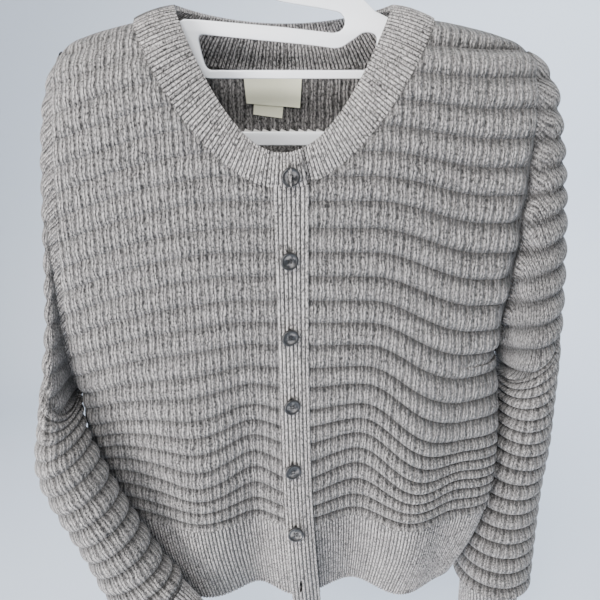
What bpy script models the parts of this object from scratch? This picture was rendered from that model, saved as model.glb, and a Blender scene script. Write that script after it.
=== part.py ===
"""Button cardigan on its hanger, in metres, +Z up.

The origin is the inside top of the hanger's hook. +X is the wearer's left
side, and the front of the garment faces -Y.
"""
import math
from collections import namedtuple

import bmesh
import bpy
import numpy as np
from mathutils import Matrix, Vector

# Cloth, seams and the heights that divide the body
WALL = 0.003
SEAM_GAP = 0.0004
ARMHOLE_GAP = 0.0010
PLACKET_GAP = 0.0006
SHOULDER_TIP = -0.112
SHOULDER_ROUND = 0.075
RIB_TOP = -0.577
HEM = -0.677
PLACKET_END = -0.686
CROSS_POWER = 6.0

# Armholes
UNDERARM = {1: -0.390, -1: -0.430}
ARMHOLE_DEPTH = 0.040
UNDERARM_START = 0.7

# Neckline seam and neckband
NECK_HALF_WIDTH = 0.126
NECK_SIDE_Z = -0.0845
FRONT_NECK_DROP = 0.131
BACK_NECK_DROP = 0.0375
NECK_OPENING_HALF_WIDTH = 0.091
NECK_OPENING_SIDE_Z = -0.074
NECK_OPENING_FRONT_DROP = 0.1145
NECK_OPENING_BACK_DROP = 0.011
NECK_OPENING_FRONT_Y = -0.041
NECK_OPENING_BACK_Y = 0.027
NECKBAND_WALL = 0.0045
NECKBAND_SEAM_GAP = 0.0009
NECKBAND_SHOULDER_GAP = 0.0018
NECKBAND_CROWN = 0.0015
NECKBAND_LAP = 0.0027
NECKBAND_LAP_ANGLE = 0.32
NECKBAND_SETTLE = 0.28
UNDER_END_REACH = 0.0085
TOP_END_REACH = 0.0205
FRONT_GAP_POWER = 8
BACK_GAP_POWER = 2

# Plackets
PLACKET_MIDDLE = 0.014
PLACKET_TOP_GAP = 0.0010
BAND_OFFSET = 0.0024
TOP_BAND_FLARE = 0.0062
FLARE_START = -0.555
FLARE_END = -0.635

# Buttons
BUTTON_RADIUS = 0.0083
BUTTON_THICKNESS = 0.0036
BUTTON_RIM = 0.0018
BUTTON_DISH = 0.0009
HOLE_RADIUS = 0.0009
HOLE_SPREAD = 0.0018
SHANK_RADIUS = 0.0009
BUTTON_TURN = 20.0
BUTTON_CLEARANCE = 0.0034
HIDDEN_CLEARANCE = 0.0007
FIRST_BUTTON_Z = -0.207
BUTTON_PITCH = 0.0745
SLIT_WIDTH = 0.0026
SLIT_HEIGHT = 0.0150

# How finely each piece is divided
FRONT_ROWS = 19
NECK_SHARE = 0.52
NECK_COLUMNS = 6
SHOULDER_COLUMNS = 8
SHOULDER_SPACING_POWER = 0.9
BACK_ROWS = 17
BACK_COLUMNS = 11
BACK_EDGE_SHARES = (0.9, 0.96, 1.0)
ROW_SPACING_POWER = 1.6
TOP_EDGE_STEPS = 12
HEM_ROWS = 5
FRONT_HEM_COLUMNS = 13
BACK_HEM_COLUMNS = 23
SLEEVE_COLUMNS = 16
NECKBAND_COLUMNS = 57
NECKBAND_ROWS = 5
PLACKET_ROWS = 26
PLACKET_COLUMNS = 4
SMALL_ANGLE = 0.01
SLOPE_STEP = 0.006

# Labels
LABEL_WALL = 0.001
LABEL_GAP = 0.0005

# Hanger
HANGER_THICKNESS = 0.008
HOOK_RADIUS = 0.020
HOOK_WIDTH = 0.009
HANGER_LOOP_CORNER = 0.006
HANGER_FRAME_CORNER = 0.007

Side = namedtuple("Side", "z right left")
SIDES = (
    Side(-0.080, 0.211, 0.192),
    Side(-0.112, 0.212, 0.193),
    Side(-0.250, 0.214, 0.200),
    Side(-0.390, 0.2145, 0.211),
    Side(-0.430, 0.2205, 0.214),
    Side(-0.480, 0.2265, 0.214),
    Side(-0.560, 0.2270, 0.211),
    Side(-0.620, 0.2150, 0.202),
    Side(-0.690, 0.1860, 0.180),
)

Depth = namedtuple("Depth", "z front back")
DEPTHS = (
    Depth(-0.080, 0.036, 0.030),
    Depth(-0.200, 0.041, 0.035),
    Depth(-0.350, 0.043, 0.038),
    Depth(-0.500, 0.041, 0.038),
    Depth(-0.600, 0.041, 0.038),
    Depth(-0.680, 0.034, 0.032),
)

Shoulder = namedtuple("Shoulder", "share z")
SHOULDERS = (
    Shoulder(0.00, -0.0830),
    Shoulder(0.58, -0.0845),
    Shoulder(0.75, -0.0910),
    Shoulder(0.87, -0.0975),
    Shoulder(0.95, -0.1040),
    Shoulder(1.00, SHOULDER_TIP),
)

Placket = namedtuple("Placket", "z left right button")
PLACKETS = (
    Placket(-0.180, -0.0090, 0.0215, 0.0060),
    Placket(-0.300, -0.0070, 0.0215, 0.0040),
    Placket(-0.450, -0.0040, 0.0235, 0.0060),
    Placket(-0.550, -0.0010, 0.0265, 0.0075),
    Placket(-0.620, 0.0030, 0.0310, 0.0125),
    Placket(-0.690, 0.0075, 0.0365, 0.0180),
)

# A fold's push is out of the body. It begins at start and is full at full.
Fold = namedtuple("Fold", "x half_width push start full")
FRONT_FOLDS = (
    Fold(-0.175, 0.028, -0.007, -0.32, -0.62),
    Fold(-0.090, 0.036, 0.016, -0.30, -0.61),
    Fold(-0.034, 0.022, -0.010, -0.32, -0.62),
    Fold(0.012, 0.026, 0.012, -0.38, -0.66),
    Fold(0.076, 0.030, -0.015, -0.36, -0.62),
    Fold(0.130, 0.034, 0.015, -0.28, -0.60),
    Fold(0.178, 0.024, -0.008, -0.40, -0.64),
)
BACK_FOLDS = (
    Fold(-0.140, 0.034, 0.012, -0.30, -0.62),
    Fold(-0.078, 0.030, -0.012, -0.36, -0.60),
    Fold(-0.018, 0.036, 0.011, -0.40, -0.64),
    Fold(0.048, 0.028, -0.010, -0.34, -0.62),
    Fold(0.112, 0.036, 0.013, -0.30, -0.60),
    Fold(0.168, 0.026, -0.008, -0.42, -0.64),
)

# Each row is one ring of a sleeve: its outer and inner edge, its middle in Y
# and its half depth.
Ring = namedtuple("Ring", "outer_x outer_z inner_x inner_z y half_depth")
WEARER_LEFT_SLEEVE = (
    Ring(0.2290, -0.130, 0.2185, -0.3910, 0.000, 0.0400),
    Ring(0.2380, -0.158, 0.2225, -0.3940, 0.000, 0.0415),
    Ring(0.2480, -0.205, 0.2260, -0.3990, 0.001, 0.0430),
    Ring(0.2565, -0.262, 0.2290, -0.4060, 0.003, 0.0445),
    Ring(0.2645, -0.325, 0.2315, -0.4160, 0.006, 0.0450),
    Ring(0.2725, -0.390, 0.2335, -0.4340, 0.011, 0.0445),
    Ring(0.2800, -0.450, 0.2335, -0.4680, 0.018, 0.0440),
    Ring(0.2880, -0.512, 0.2300, -0.5130, 0.026, 0.0435),
    Ring(0.2895, -0.572, 0.2235, -0.5720, 0.029, 0.0430),
    Ring(0.2915, -0.640, 0.2165, -0.6400, 0.026, 0.0420),
    Ring(0.2920, -0.712, 0.2145, -0.7120, 0.018, 0.0410),
)
WEARER_LEFT_CUFF = (
    Ring(0.2890, -0.7130, 0.2175, -0.7130, 0.018, 0.0370),
    Ring(0.2850, -0.7300, 0.2200, -0.7300, 0.017, 0.0345),
    Ring(0.2830, -0.7550, 0.2210, -0.7550, 0.016, 0.0335),
    Ring(0.2820, -0.7780, 0.2215, -0.7780, 0.015, 0.0330),
)
WEARER_RIGHT_SLEEVE = (
    Ring(-0.2035, -0.137, -0.2185, -0.4315, 0.000, 0.0395),
    Ring(-0.2070, -0.172, -0.2215, -0.4340, -0.002, 0.0390),
    Ring(-0.2120, -0.235, -0.2228, -0.4375, -0.006, 0.0385),
    Ring(-0.2215, -0.325, -0.2222, -0.4415, -0.013, 0.0375),
    Ring(-0.2310, -0.395, -0.2190, -0.4455, -0.029, 0.0360),
    Ring(-0.2390, -0.450, -0.2110, -0.4530, -0.045, 0.0335),
    Ring(-0.2440, -0.482, -0.2030, -0.4660, -0.054, 0.0310),
    Ring(-0.2405, -0.508, -0.1935, -0.4815, -0.060, 0.0290),
    Ring(-0.2270, -0.540, -0.1790, -0.5125, -0.066, 0.0275),
    Ring(-0.2120, -0.573, -0.1630, -0.5445, -0.070, 0.0265),
    Ring(-0.2000, -0.603, -0.1475, -0.5725, -0.073, 0.0255),
    Ring(-0.1880, -0.635, -0.1290, -0.6045, -0.077, 0.0245),
    Ring(-0.1670, -0.668, -0.1109, -0.6253, -0.080, 0.0240),
)
WEARER_RIGHT_CUFF = (
    Ring(-0.1630, -0.6695, -0.1125, -0.6300, -0.080, 0.0220),
    Ring(-0.1500, -0.6800, -0.1030, -0.6420, -0.081, 0.0205),
    Ring(-0.1350, -0.7000, -0.0880, -0.6630, -0.082, 0.0200),
    Ring(-0.1190, -0.7200, -0.0730, -0.6840, -0.083, 0.0195),
)


def smoothstep(start, end, value):
    share = np.clip((value - start) / (end - start), 0.0, 1.0)
    return share * share * (3.0 - 2.0 * share)


def read(rows, key, field, at):
    """A smooth curve through one column of a table."""
    keys = np.array([getattr(row, key) for row in rows])
    values = np.array([getattr(row, field) for row in rows])
    order = np.argsort(keys)
    keys, values = keys[order], values[order]
    slopes = np.gradient(values, keys)
    at = np.clip(at, keys[0], keys[-1])
    index = np.clip(np.searchsorted(keys, at) - 1, 0, len(keys) - 2)
    span = keys[index + 1] - keys[index]
    share = (at - keys[index]) / span
    rise = values[index + 1] - values[index]
    ease = share * share * (3.0 - 2.0 * share)
    lead = share * (1.0 - share) ** 2 * slopes[index] * span
    trail = share * share * (share - 1.0) * slopes[index + 1] * span
    return values[index] + rise * ease + lead + trail


def side_reach(side, z):
    return read(SIDES, "z", "right" if side > 0 else "left", z)


def armhole_depth(side, z):
    """Half the depth of the armhole's oval at a height."""
    middle = 0.5 * (SHOULDER_TIP + UNDERARM[side])
    half = 0.5 * (SHOULDER_TIP - UNDERARM[side])
    share = np.clip((z - middle) / half, -1.0, 1.0)
    return ARMHOLE_DEPTH * np.sqrt(1.0 - share * share)


def fold_push(folds, x, z):
    push = np.zeros(np.broadcast(x, z).shape)
    for fold in folds:
        bump = np.exp(-(((x - fold.x) / fold.half_width) ** 2))
        push = push + fold.push * bump * smoothstep(fold.start, fold.full, z)
    return push


def body_y(x, z, front):
    """The middle of the body's cloth, in Y, on the front or on the back."""
    x = np.asarray(x, float)
    z = np.asarray(z, float)
    right = x > 0
    reach = np.where(right, side_reach(1, z), side_reach(-1, z))
    share = np.clip(np.abs(x) / reach, 0.0, 1.0)
    below = np.maximum(read(SHOULDERS, "share", "z", share) - z, 0.0)
    rest = 1.0 - np.minimum(below / SHOULDER_ROUND, 1.0)
    ramp = np.sqrt(1.0 - rest * rest)
    edge = np.where(right, armhole_depth(1, z), armhole_depth(-1, z))
    full = read(DEPTHS, "z", "front" if front else "back", z)
    cross = np.sqrt(1.0 - share**CROSS_POWER)
    depth = edge + ramp * np.maximum(full - edge, 0.0) * cross
    push = fold_push(FRONT_FOLDS if front else BACK_FOLDS, x, z)
    out = depth + push * (1.0 - share**CROSS_POWER)
    out = out + 0.5 * SEAM_GAP
    return -out if front else out


def neck_z(x, front):
    """The height of the neckline seam."""
    share = np.clip(np.abs(x) / NECK_HALF_WIDTH, 0.0, 1.0)
    if front:
        return NECK_SIDE_Z - FRONT_NECK_DROP * (1.0 - share**2)
    return NECK_SIDE_Z - BACK_NECK_DROP * (1.0 - share**4)


def top_z(side, x, z, front):
    share = np.clip(np.abs(x) / side_reach(side, z), 0.0, 1.0)
    shoulder = read(SHOULDERS, "share", "z", share)
    return np.where(np.abs(x) < NECK_HALF_WIDTH, neck_z(x, front), shoulder)


def finish(name, colour, roughness, metallic=0.0):
    material = bpy.data.materials.new(name)
    material.use_nodes = True
    shader = material.node_tree.nodes["Principled BSDF"]
    shader.inputs["Base Color"].default_value = (*colour, 1.0)
    shader.inputs["Roughness"].default_value = roughness
    shader.inputs["Metallic"].default_value = metallic
    return material


def add_object(name, mesh, material):
    piece = bpy.data.objects.new(name, mesh)
    bpy.context.scene.collection.objects.link(piece)
    mesh.materials.append(material)
    mesh.shade_smooth()
    mesh.set_sharp_from_angle(angle=math.radians(40))
    return piece


def mesh_from(name, points, faces):
    mesh = bpy.data.meshes.new(name)
    mesh.from_pydata(points, [], faces)
    shape = bmesh.new()
    shape.from_mesh(mesh)
    bmesh.ops.recalc_face_normals(shape, faces=shape.faces)
    shape.to_mesh(mesh)
    shape.free()
    return mesh


def cloth_normals(grid, ring, seam):
    """Unit normals of a grid of points, square to the seams they end on."""
    down = np.gradient(grid, axis=0)
    if ring:
        across = np.roll(grid, -1, axis=1) - np.roll(grid, 1, axis=1)
    else:
        across = np.gradient(grid, axis=1)
    normals = np.cross(down, across)
    if seam == "panel":
        on_middle = np.abs(grid[..., 1]) < SEAM_GAP
        normals[on_middle, 1] = 0.0
        for column in (0, -1):
            normals[~on_middle[:, column], column, 0] = 0.0
    if seam == "armhole":
        normals[0, :, 0] = 0.0
    return normals / np.linalg.norm(normals, axis=2, keepdims=True)


def cloth(name, grid, material, wall=WALL, ring=False, seam=None):
    """A wall of cloth on both sides of a grid of points."""
    normals = cloth_normals(grid, ring, seam)
    rows, columns = grid.shape[:2]
    layers = (grid + normals * wall / 2, grid - normals * wall / 2)
    points = np.concatenate([layer.reshape(-1, 3) for layer in layers])
    count = rows * columns
    steps = columns if ring else columns - 1
    faces = []

    def spot(row, column):
        return row * columns + column % columns

    for row in range(rows - 1):
        for column in range(steps):
            loop = [spot(row, column), spot(row, column + 1)]
            loop += [spot(row + 1, column + 1), spot(row + 1, column)]
            faces.append(loop)
            faces.append([count + index for index in reversed(loop)])
    edges = [(spot(row, c), spot(row, c + 1)) for row in (0, rows - 1) for c in range(steps)]
    if not ring:
        ends = (0, columns - 1)
        edges += [(spot(r, c), spot(r + 1, c)) for c in ends for r in range(rows - 1)]
    faces += [[a, b, count + b, count + a] for a, b in edges]
    return add_object(name, mesh_from(name, points.tolist(), faces), material)


def column_tops(side, columns, xs_at, front):
    """The height where each column of a panel meets the neckline or shoulder."""
    z = np.full(columns, NECK_SIDE_Z)
    for _ in range(TOP_EDGE_STEPS):
        x = xs_at(z)
        z = top_z(side, x, z, front)
    return z


def panel_grid(side, shares, rows, front, inner_x):
    """Points of a body panel, from its top edge to the rib and out to its side."""

    def xs_at(z):
        return inner_x(z) + shares * (side * side_reach(side, z) - inner_x(z))

    tops = column_tops(side, len(shares), xs_at, front)
    steps = np.linspace(0.0, 1.0, rows) ** ROW_SPACING_POWER
    grid = []
    for step in steps:
        z = tops + step * (RIB_TOP - tops)
        x = xs_at(z)
        grid.append(np.stack([x, body_y(x, z, front), z], axis=1))
    return np.array(grid)


def band_grid(x_from, x_to, heights, columns, front, push):
    """Points of a band that follows the body between two edges."""
    grid = []
    for z in heights:
        x = np.linspace(x_from(z), x_to(z), columns)
        y = body_y(x, np.full(columns, z), front) + push(z)
        grid.append(np.stack([x, y, np.full(columns, z)], axis=1))
    return np.array(grid)


def placket_edge(field, gap=0.0):
    def edge(z):
        return read(PLACKETS, "z", field, z) + gap

    return edge


def side_edge(side):
    def edge(z):
        return side * side_reach(side, z)

    return edge


def top_band_push(z):
    return -BAND_OFFSET - TOP_BAND_FLARE * smoothstep(FLARE_START, FLARE_END, z)


def under_band_push(_):
    return BAND_OFFSET


def no_push(_):
    return 0.0


FRONT_INNER_EDGE = {
    1: placket_edge("right", PLACKET_GAP),
    -1: placket_edge("left", -PLACKET_GAP),
}


def make_fronts(material):
    neck = np.linspace(0.0, NECK_SHARE, NECK_COLUMNS)
    rest = np.linspace(NECK_SHARE, 1.0, SHOULDER_COLUMNS) ** SHOULDER_SPACING_POWER
    rest = (rest - rest[0]) / (rest[-1] - rest[0])
    shares = np.concatenate([neck, NECK_SHARE + rest[1:] * (1.0 - NECK_SHARE)])
    for side, name in ((-1, "right_front"), (1, "left_front")):
        grid = panel_grid(side, shares, FRONT_ROWS, True, FRONT_INNER_EDGE[side])
        cloth(name, grid, material, seam="panel")


def make_back(material):
    turns = np.linspace(0.0, 0.5 * math.pi, BACK_COLUMNS)
    shares = np.concatenate([np.sin(turns) * BACK_EDGE_SHARES[0], BACK_EDGE_SHARES[1:]])
    halves = []
    for side in (-1, 1):
        halves.append(panel_grid(side, shares, BACK_ROWS, False, no_push))
    grid = np.concatenate([halves[0][:, ::-1], halves[1][:, 1:]], axis=1)
    cloth("back_panel", grid, material, seam="panel")


def make_hem_ribs(material):
    heights = np.linspace(RIB_TOP - SEAM_GAP, HEM, HEM_ROWS)
    for side, name in ((-1, "right_hem_rib"), (1, "left_hem_rib")):
        edges = (FRONT_INNER_EDGE[side], side_edge(side))
        grid = band_grid(*edges, heights, FRONT_HEM_COLUMNS, True, no_push)
        cloth(name, grid, material, seam="panel")
    grid = band_grid(side_edge(-1), side_edge(1), heights, BACK_HEM_COLUMNS, False, no_push)
    cloth("back_hem_rib", grid, material, seam="panel")


def ring_points(ring, count):
    outer = np.array([ring.outer_x, ring.y, ring.outer_z])
    inner = np.array([ring.inner_x, ring.y, ring.inner_z])
    angles = np.arange(count) * 2.0 * math.pi / count
    middle = 0.5 * (outer + inner)
    reach = 0.5 * (outer - inner)
    points = middle + np.cos(angles)[:, None] * reach
    points[:, 1] -= np.sin(angles) * ring.half_depth
    return points


def armhole_points(side, count):
    """The sleeve's first ring, face to face with the armhole's edge."""
    angles = np.arange(count) * 2.0 * math.pi / count
    middle = 0.5 * (SHOULDER_TIP + UNDERARM[side])
    half = 0.5 * (SHOULDER_TIP - UNDERARM[side])
    z = middle + half * np.cos(angles)
    clear = ARMHOLE_GAP + 0.5 * WALL * smoothstep(UNDERARM_START, 1.0, -np.cos(angles))
    x = side * (side_reach(side, z) + clear)
    return np.stack([x, -np.sin(angles) * ARMHOLE_DEPTH, z], axis=1)


def make_sleeves(knit, rib):
    for side, sleeve, cuff, who in (
        (1, WEARER_LEFT_SLEEVE, WEARER_LEFT_CUFF, "left"),
        (-1, WEARER_RIGHT_SLEEVE, WEARER_RIGHT_CUFF, "right"),
    ):
        rings = [armhole_points(side, SLEEVE_COLUMNS)]
        rings += [ring_points(ring, SLEEVE_COLUMNS) for ring in sleeve]
        cloth(who + "_sleeve", np.array(rings), knit, ring=True, seam="armhole")
        rings = [ring_points(ring, SLEEVE_COLUMNS) for ring in cuff]
        cloth(who + "_cuff", np.array(rings), rib, ring=True)


def neck_seam(angle):
    """A point of the neckline seam. Angle 0 is the front middle."""
    front = math.cos(angle) >= 0.0
    x = NECK_HALF_WIDTH * math.sin(angle)
    z = float(neck_z(x, front))
    return Vector((x, float(body_y(x, z, front)), z))


def neck_opening(angle):
    """A point of the neckband's free edge."""
    ahead = math.cos(angle)
    drop = NECK_OPENING_FRONT_DROP if ahead > 0 else NECK_OPENING_BACK_DROP
    reach = NECK_OPENING_FRONT_Y if ahead > 0 else -NECK_OPENING_BACK_Y
    x = NECK_OPENING_HALF_WIDTH * math.sin(angle)
    z = NECK_OPENING_SIDE_Z - drop * ahead * ahead
    return Vector((x, reach * ahead, z))


def neckband_row(angle, push):
    seam = neck_seam(angle)
    opening = neck_opening(angle)
    along = neck_seam(angle + SMALL_ANGLE) - neck_seam(angle - SMALL_ANGLE)
    width = opening - seam
    out = along.cross(width).normalized()
    row = []
    bend = FRONT_GAP_POWER if math.cos(angle) >= 0.0 else BACK_GAP_POWER
    gap = NECKBAND_SEAM_GAP + NECKBAND_SHOULDER_GAP * math.sin(angle) ** bend
    for share in np.linspace(gap / width.length, 1.0, NECKBAND_ROWS):
        crown = NECKBAND_CROWN * 4.0 * share * (1.0 - share)
        point = seam + width * share + out * crown
        point.y += push
        row.append(point)
    return row


def lap_angles():
    """Where the neckband's under end starts and its top end stops."""
    under = -UNDER_END_REACH / NECK_HALF_WIDTH
    top = 2.0 * math.pi + TOP_END_REACH / NECK_HALF_WIDTH
    return under, top


def make_neckband(material):
    under, top = lap_angles()
    lap_end = top - NECKBAND_LAP_ANGLE
    rows = []
    for angle in np.linspace(under, top, NECKBAND_COLUMNS):
        tuck = NECKBAND_LAP * (1.0 - smoothstep(-under, -under + NECKBAND_SETTLE, angle))
        rise = NECKBAND_LAP * smoothstep(lap_end - NECKBAND_SETTLE, lap_end, angle)
        rows.append([tuple(point) for point in neckband_row(angle, tuck - rise)])
    return cloth("neckband", np.array(rows), material, wall=NECKBAND_WALL)


def make_plackets(material):
    top = float(neck_z(PLACKET_MIDDLE, True)) - PLACKET_TOP_GAP
    heights = np.linspace(top, PLACKET_END, PLACKET_ROWS)
    edges = (placket_edge("left"), placket_edge("right"))
    bands = []
    for name, push in (("buttonhole_band", top_band_push), ("button_band", under_band_push)):
        grid = band_grid(*edges, heights, PLACKET_COLUMNS, True, push)
        bands.append(cloth(name, grid, material, seam="panel"))
    return bands


def button_heights():
    return [FIRST_BUTTON_Z - BUTTON_PITCH * count for count in range(7)]


def placket_spot(z, push):
    """A point on the button line, and the cloth's slope there."""
    x = float(read(PLACKETS, "z", "button", z))
    y = float(body_y(x, z, True)) + float(push(z))
    step = SLOPE_STEP
    above = float(body_y(x, z + step, True)) + float(push(z + step))
    below = float(body_y(x, z - step, True)) + float(push(z - step))
    return Vector((x, y, z)), math.atan2(above - below, 2.0 * step)


def neckband_spot(z):
    """A point of the neckband's front middle, between its two ends."""
    seam, opening = neck_seam(0.0), neck_opening(0.0)
    share = (z - seam.z) / (opening.z - seam.z)
    point = seam.lerp(opening, share)
    point.y -= NECKBAND_CROWN * 4.0 * share * (1.0 - share)
    point.x = float(read(PLACKETS, "z", "button", z))
    return point


def box_cutter(name, low, high):
    mesh = bpy.data.meshes.new(name)
    shape = bmesh.new()
    bmesh.ops.create_cube(shape, size=1.0)
    size = Vector(high) - Vector(low)
    middle = (Vector(high) + Vector(low)) / 2.0
    matrix = Matrix.Translation(middle) @ Matrix.Diagonal((*size, 1.0))
    bmesh.ops.transform(shape, matrix=matrix, verts=shape.verts)
    shape.to_mesh(mesh)
    shape.free()
    cutter = bpy.data.objects.new(name, mesh)
    bpy.context.scene.collection.objects.link(cutter)
    cutter.hide_render = True
    cutter.display_type = "WIRE"
    return cutter


def cut(piece, cutter):
    boolean = piece.modifiers.new(cutter.name, "BOOLEAN")
    boolean.operation = "DIFFERENCE"
    boolean.solver = "EXACT"
    boolean.object = cutter


def make_slits(neckband, top_band):
    for number, z in enumerate(button_heights(), 1):
        name = f"slit_{number}"
        if number == 1:
            spot = neckband_spot(z)
            front, back = spot.y - 0.012, spot.y
            piece = neckband
        else:
            spot, _ = placket_spot(z, top_band_push)
            front, back = spot.y - 0.006, spot.y + 0.006
            piece = top_band
        low = (spot.x - SLIT_WIDTH / 2, front, z - SLIT_HEIGHT / 2)
        high = (spot.x + SLIT_WIDTH / 2, back, z + SLIT_HEIGHT / 2)
        cut(piece, box_cutter(name, low, high))


def button_mesh(name):
    """A dished disc with a raised rim and four holes. Its back is at the origin."""
    profile = (
        (0.0, 0.0),
        (BUTTON_RADIUS * 0.86, 0.0),
        (BUTTON_RADIUS, BUTTON_THICKNESS * 0.35),
        (BUTTON_RADIUS, BUTTON_THICKNESS * 0.80),
        (BUTTON_RADIUS - BUTTON_RIM * 0.5, BUTTON_THICKNESS),
        (BUTTON_RADIUS - BUTTON_RIM, BUTTON_THICKNESS * 0.90),
        (BUTTON_RADIUS * 0.66, BUTTON_THICKNESS - BUTTON_DISH),
        (0.0, BUTTON_THICKNESS - BUTTON_DISH),
    )
    sides = 20
    points = [(0.0, 0.0, 0.0)]
    for radius, height in profile[1:-1]:
        for count in range(sides):
            angle = 2.0 * math.pi * count / sides
            points.append((radius * math.cos(angle), -height, radius * math.sin(angle)))
    points.append((0.0, -profile[-1][1], 0.0))
    faces = []
    for level in range(len(profile) - 3):
        for count in range(sides):
            here = 1 + level * sides
            after = (count + 1) % sides
            faces.append([here + count, here + after, here + sides + after, here + sides + count])
    last = 1 + (len(profile) - 3) * sides
    for count in range(sides):
        after = (count + 1) % sides
        faces.append([0, 1 + after, 1 + count])
        faces.append([len(points) - 1, last + count, last + after])
    return mesh_from(name, points, faces)


def rod(name, radius, start, end, sides):
    """A rod along Y, used to cut a hole or as a thread shank."""
    mesh = bpy.data.meshes.new(name)
    shape = bmesh.new()
    bmesh.ops.create_cone(
        shape,
        cap_ends=True,
        segments=sides,
        radius1=radius,
        radius2=radius,
        depth=end - start,
    )
    turn = Matrix.Rotation(math.radians(90), 4, "X")
    matrix = Matrix.Translation((0.0, (start + end) / 2.0, 0.0)) @ turn
    bmesh.ops.transform(shape, matrix=matrix, verts=shape.verts)
    bmesh.ops.recalc_face_normals(shape, faces=shape.faces)
    shape.to_mesh(mesh)
    shape.free()
    helper = bpy.data.objects.new(name, mesh)
    bpy.context.scene.collection.objects.link(helper)
    helper.hide_render = True
    helper.display_type = "WIRE"
    return helper


def make_button(number, spot, slope, turn, shank_length, material):
    name = f"button_{number}"
    button = add_object(name, button_mesh(name), material)
    shank = rod(name + "_shank", SHANK_RADIUS, -0.0010, shank_length, 8)
    joined = button.modifiers.new("shank", "BOOLEAN")
    joined.operation = "UNION"
    joined.solver = "EXACT"
    joined.object = shank
    shank.location = spot
    tilted = [button]
    for count in range(4):
        angle = math.radians(45 + 90 * count)
        hole = rod(f"{name}_hole_{count + 1}", HOLE_RADIUS, -BUTTON_THICKNESS - 0.001, -0.0016, 8)
        offset = (HOLE_SPREAD * math.cos(angle), 0.0, HOLE_SPREAD * math.sin(angle))
        hole.data.transform(Matrix.Translation(offset))
        cut(button, hole)
        tilted.append(hole)
    for piece in tilted:
        piece.location = spot
        piece.rotation_euler = (slope, 0.0, math.radians(turn))


def make_buttons(material):
    for number, z in enumerate(button_heights(), 1):
        if number == 1:
            spot = neckband_spot(z)
            slope = 0.0
            turn = BUTTON_TURN
            stack = NECKBAND_LAP + NECKBAND_WALL / 2 + BUTTON_CLEARANCE
            shank = stack + NECKBAND_LAP - NECKBAND_WALL / 2 - SEAM_GAP
            spot.y -= stack
        elif number == 7:
            spot, slope = placket_spot(z, under_band_push)
            turn = 0.0
            spot.y -= WALL / 2 + HIDDEN_CLEARANCE
            shank = HIDDEN_CLEARANCE - 0.0003
        else:
            spot, slope = placket_spot(z, top_band_push)
            turn = 4.0 if number == 6 else BUTTON_TURN
            apart = float(under_band_push(z) - top_band_push(z))
            spot.y -= WALL / 2 + BUTTON_CLEARANCE
            shank = BUTTON_CLEARANCE + apart - SEAM_GAP
        make_button(number, spot, -slope, turn, shank, material)


def label_grid(corners, offset):
    """Points of a label laid on the inside of the back panel."""
    top_left, top_right, low_right, low_left = (np.array(corner) for corner in corners)
    grid = []
    for down in np.linspace(0.0, 1.0, 3):
        row = []
        for across in np.linspace(0.0, 1.0, 4):
            upper = top_left + across * (top_right - top_left)
            lower = low_left + across * (low_right - low_left)
            x, z = upper + down * (lower - upper)
            row.append((x, float(body_y(x, z, False)) - offset, z))
        grid.append(row)
    return np.array(grid)


def make_labels(material):
    first = WALL / 2 + LABEL_GAP + LABEL_WALL / 2
    second = first + LABEL_WALL + LABEL_GAP
    main = ((-0.038, -0.1245), (0.016, -0.1245), (0.014, -0.1565), (-0.036, -0.1525))
    small = ((-0.029, -0.1500), (-0.001, -0.1510), (-0.003, -0.1660), (-0.030, -0.1625))
    cloth("neck_label", label_grid(main, second), material, wall=LABEL_WALL)
    cloth("size_label", label_grid(small, first), material, wall=LABEL_WALL)


def arc(centre, radius, start, end, count):
    """Points of an arc in XZ, its angles in degrees."""
    points = []
    for angle in np.radians(np.linspace(start, end, count)):
        points.append((centre[0] + radius * math.cos(angle), centre[1] + radius * math.sin(angle)))
    return points


def rounded(corners, radius, count=4):
    """A closed outline with each corner rounded."""
    outline = []
    total = len(corners)
    for index in range(total):
        corner = Vector(corners[index])
        before = Vector(corners[index - 1]) - corner
        after = Vector(corners[(index + 1) % total]) - corner
        reach = min(radius, 0.45 * before.length, 0.45 * after.length)
        first = corner + before.normalized() * reach
        last = corner + after.normalized() * reach
        for share in np.linspace(0.0, 1.0, count):
            one = first.lerp(corner, share)
            two = corner.lerp(last, share)
            outline.append(tuple(one.lerp(two, share)))
    return outline


def hanger_outline():
    """The hanger's outer edge, from the hook's tip round by the right arm."""
    middle = (0.0, -HOOK_RADIUS)
    outer = HOOK_RADIUS + HOOK_WIDTH
    points = arc(middle, outer, 200, -62, 22)
    points += [(0.024, -0.0485), (0.040, -0.0530), (0.054, -0.0600), (0.068, -0.0690)]
    points += [(0.077, -0.0770), (0.0885, -0.0820), (0.128, -0.0915), (0.165, -0.1005)]
    points += arc((0.182, -0.1125), 0.0085, 70, -35, 6)
    points += [(0.184, -0.150)]
    points += arc((0.160, -0.164), 0.023, -10, -90, 6)
    points += arc((-0.151, -0.164), 0.023, -90, -170, 6)
    points += [(-0.1735, -0.150)]
    points += arc((-0.166, -0.1135), 0.0085, 215, 110, 6)
    points += [(-0.152, -0.1005), (-0.128, -0.0935), (-0.098, -0.0898)]
    points += [(-0.084, -0.0830), (-0.072, -0.0835), (0.000, -0.0893), (0.042, -0.0938)]
    points += arc((0.0440, -0.0853), 0.0082, -90, 80, 8)
    points += [(0.030, -0.0745), (0.000, -0.0700), (-0.014, -0.0665), (-0.020, -0.0600)]
    points += [(-0.018, -0.0530), (-0.010, -0.0480)]
    points += arc(middle, outer, 262, 262, 1)
    points += arc(middle, HOOK_RADIUS, -84, 200, 22)
    return points


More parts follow.
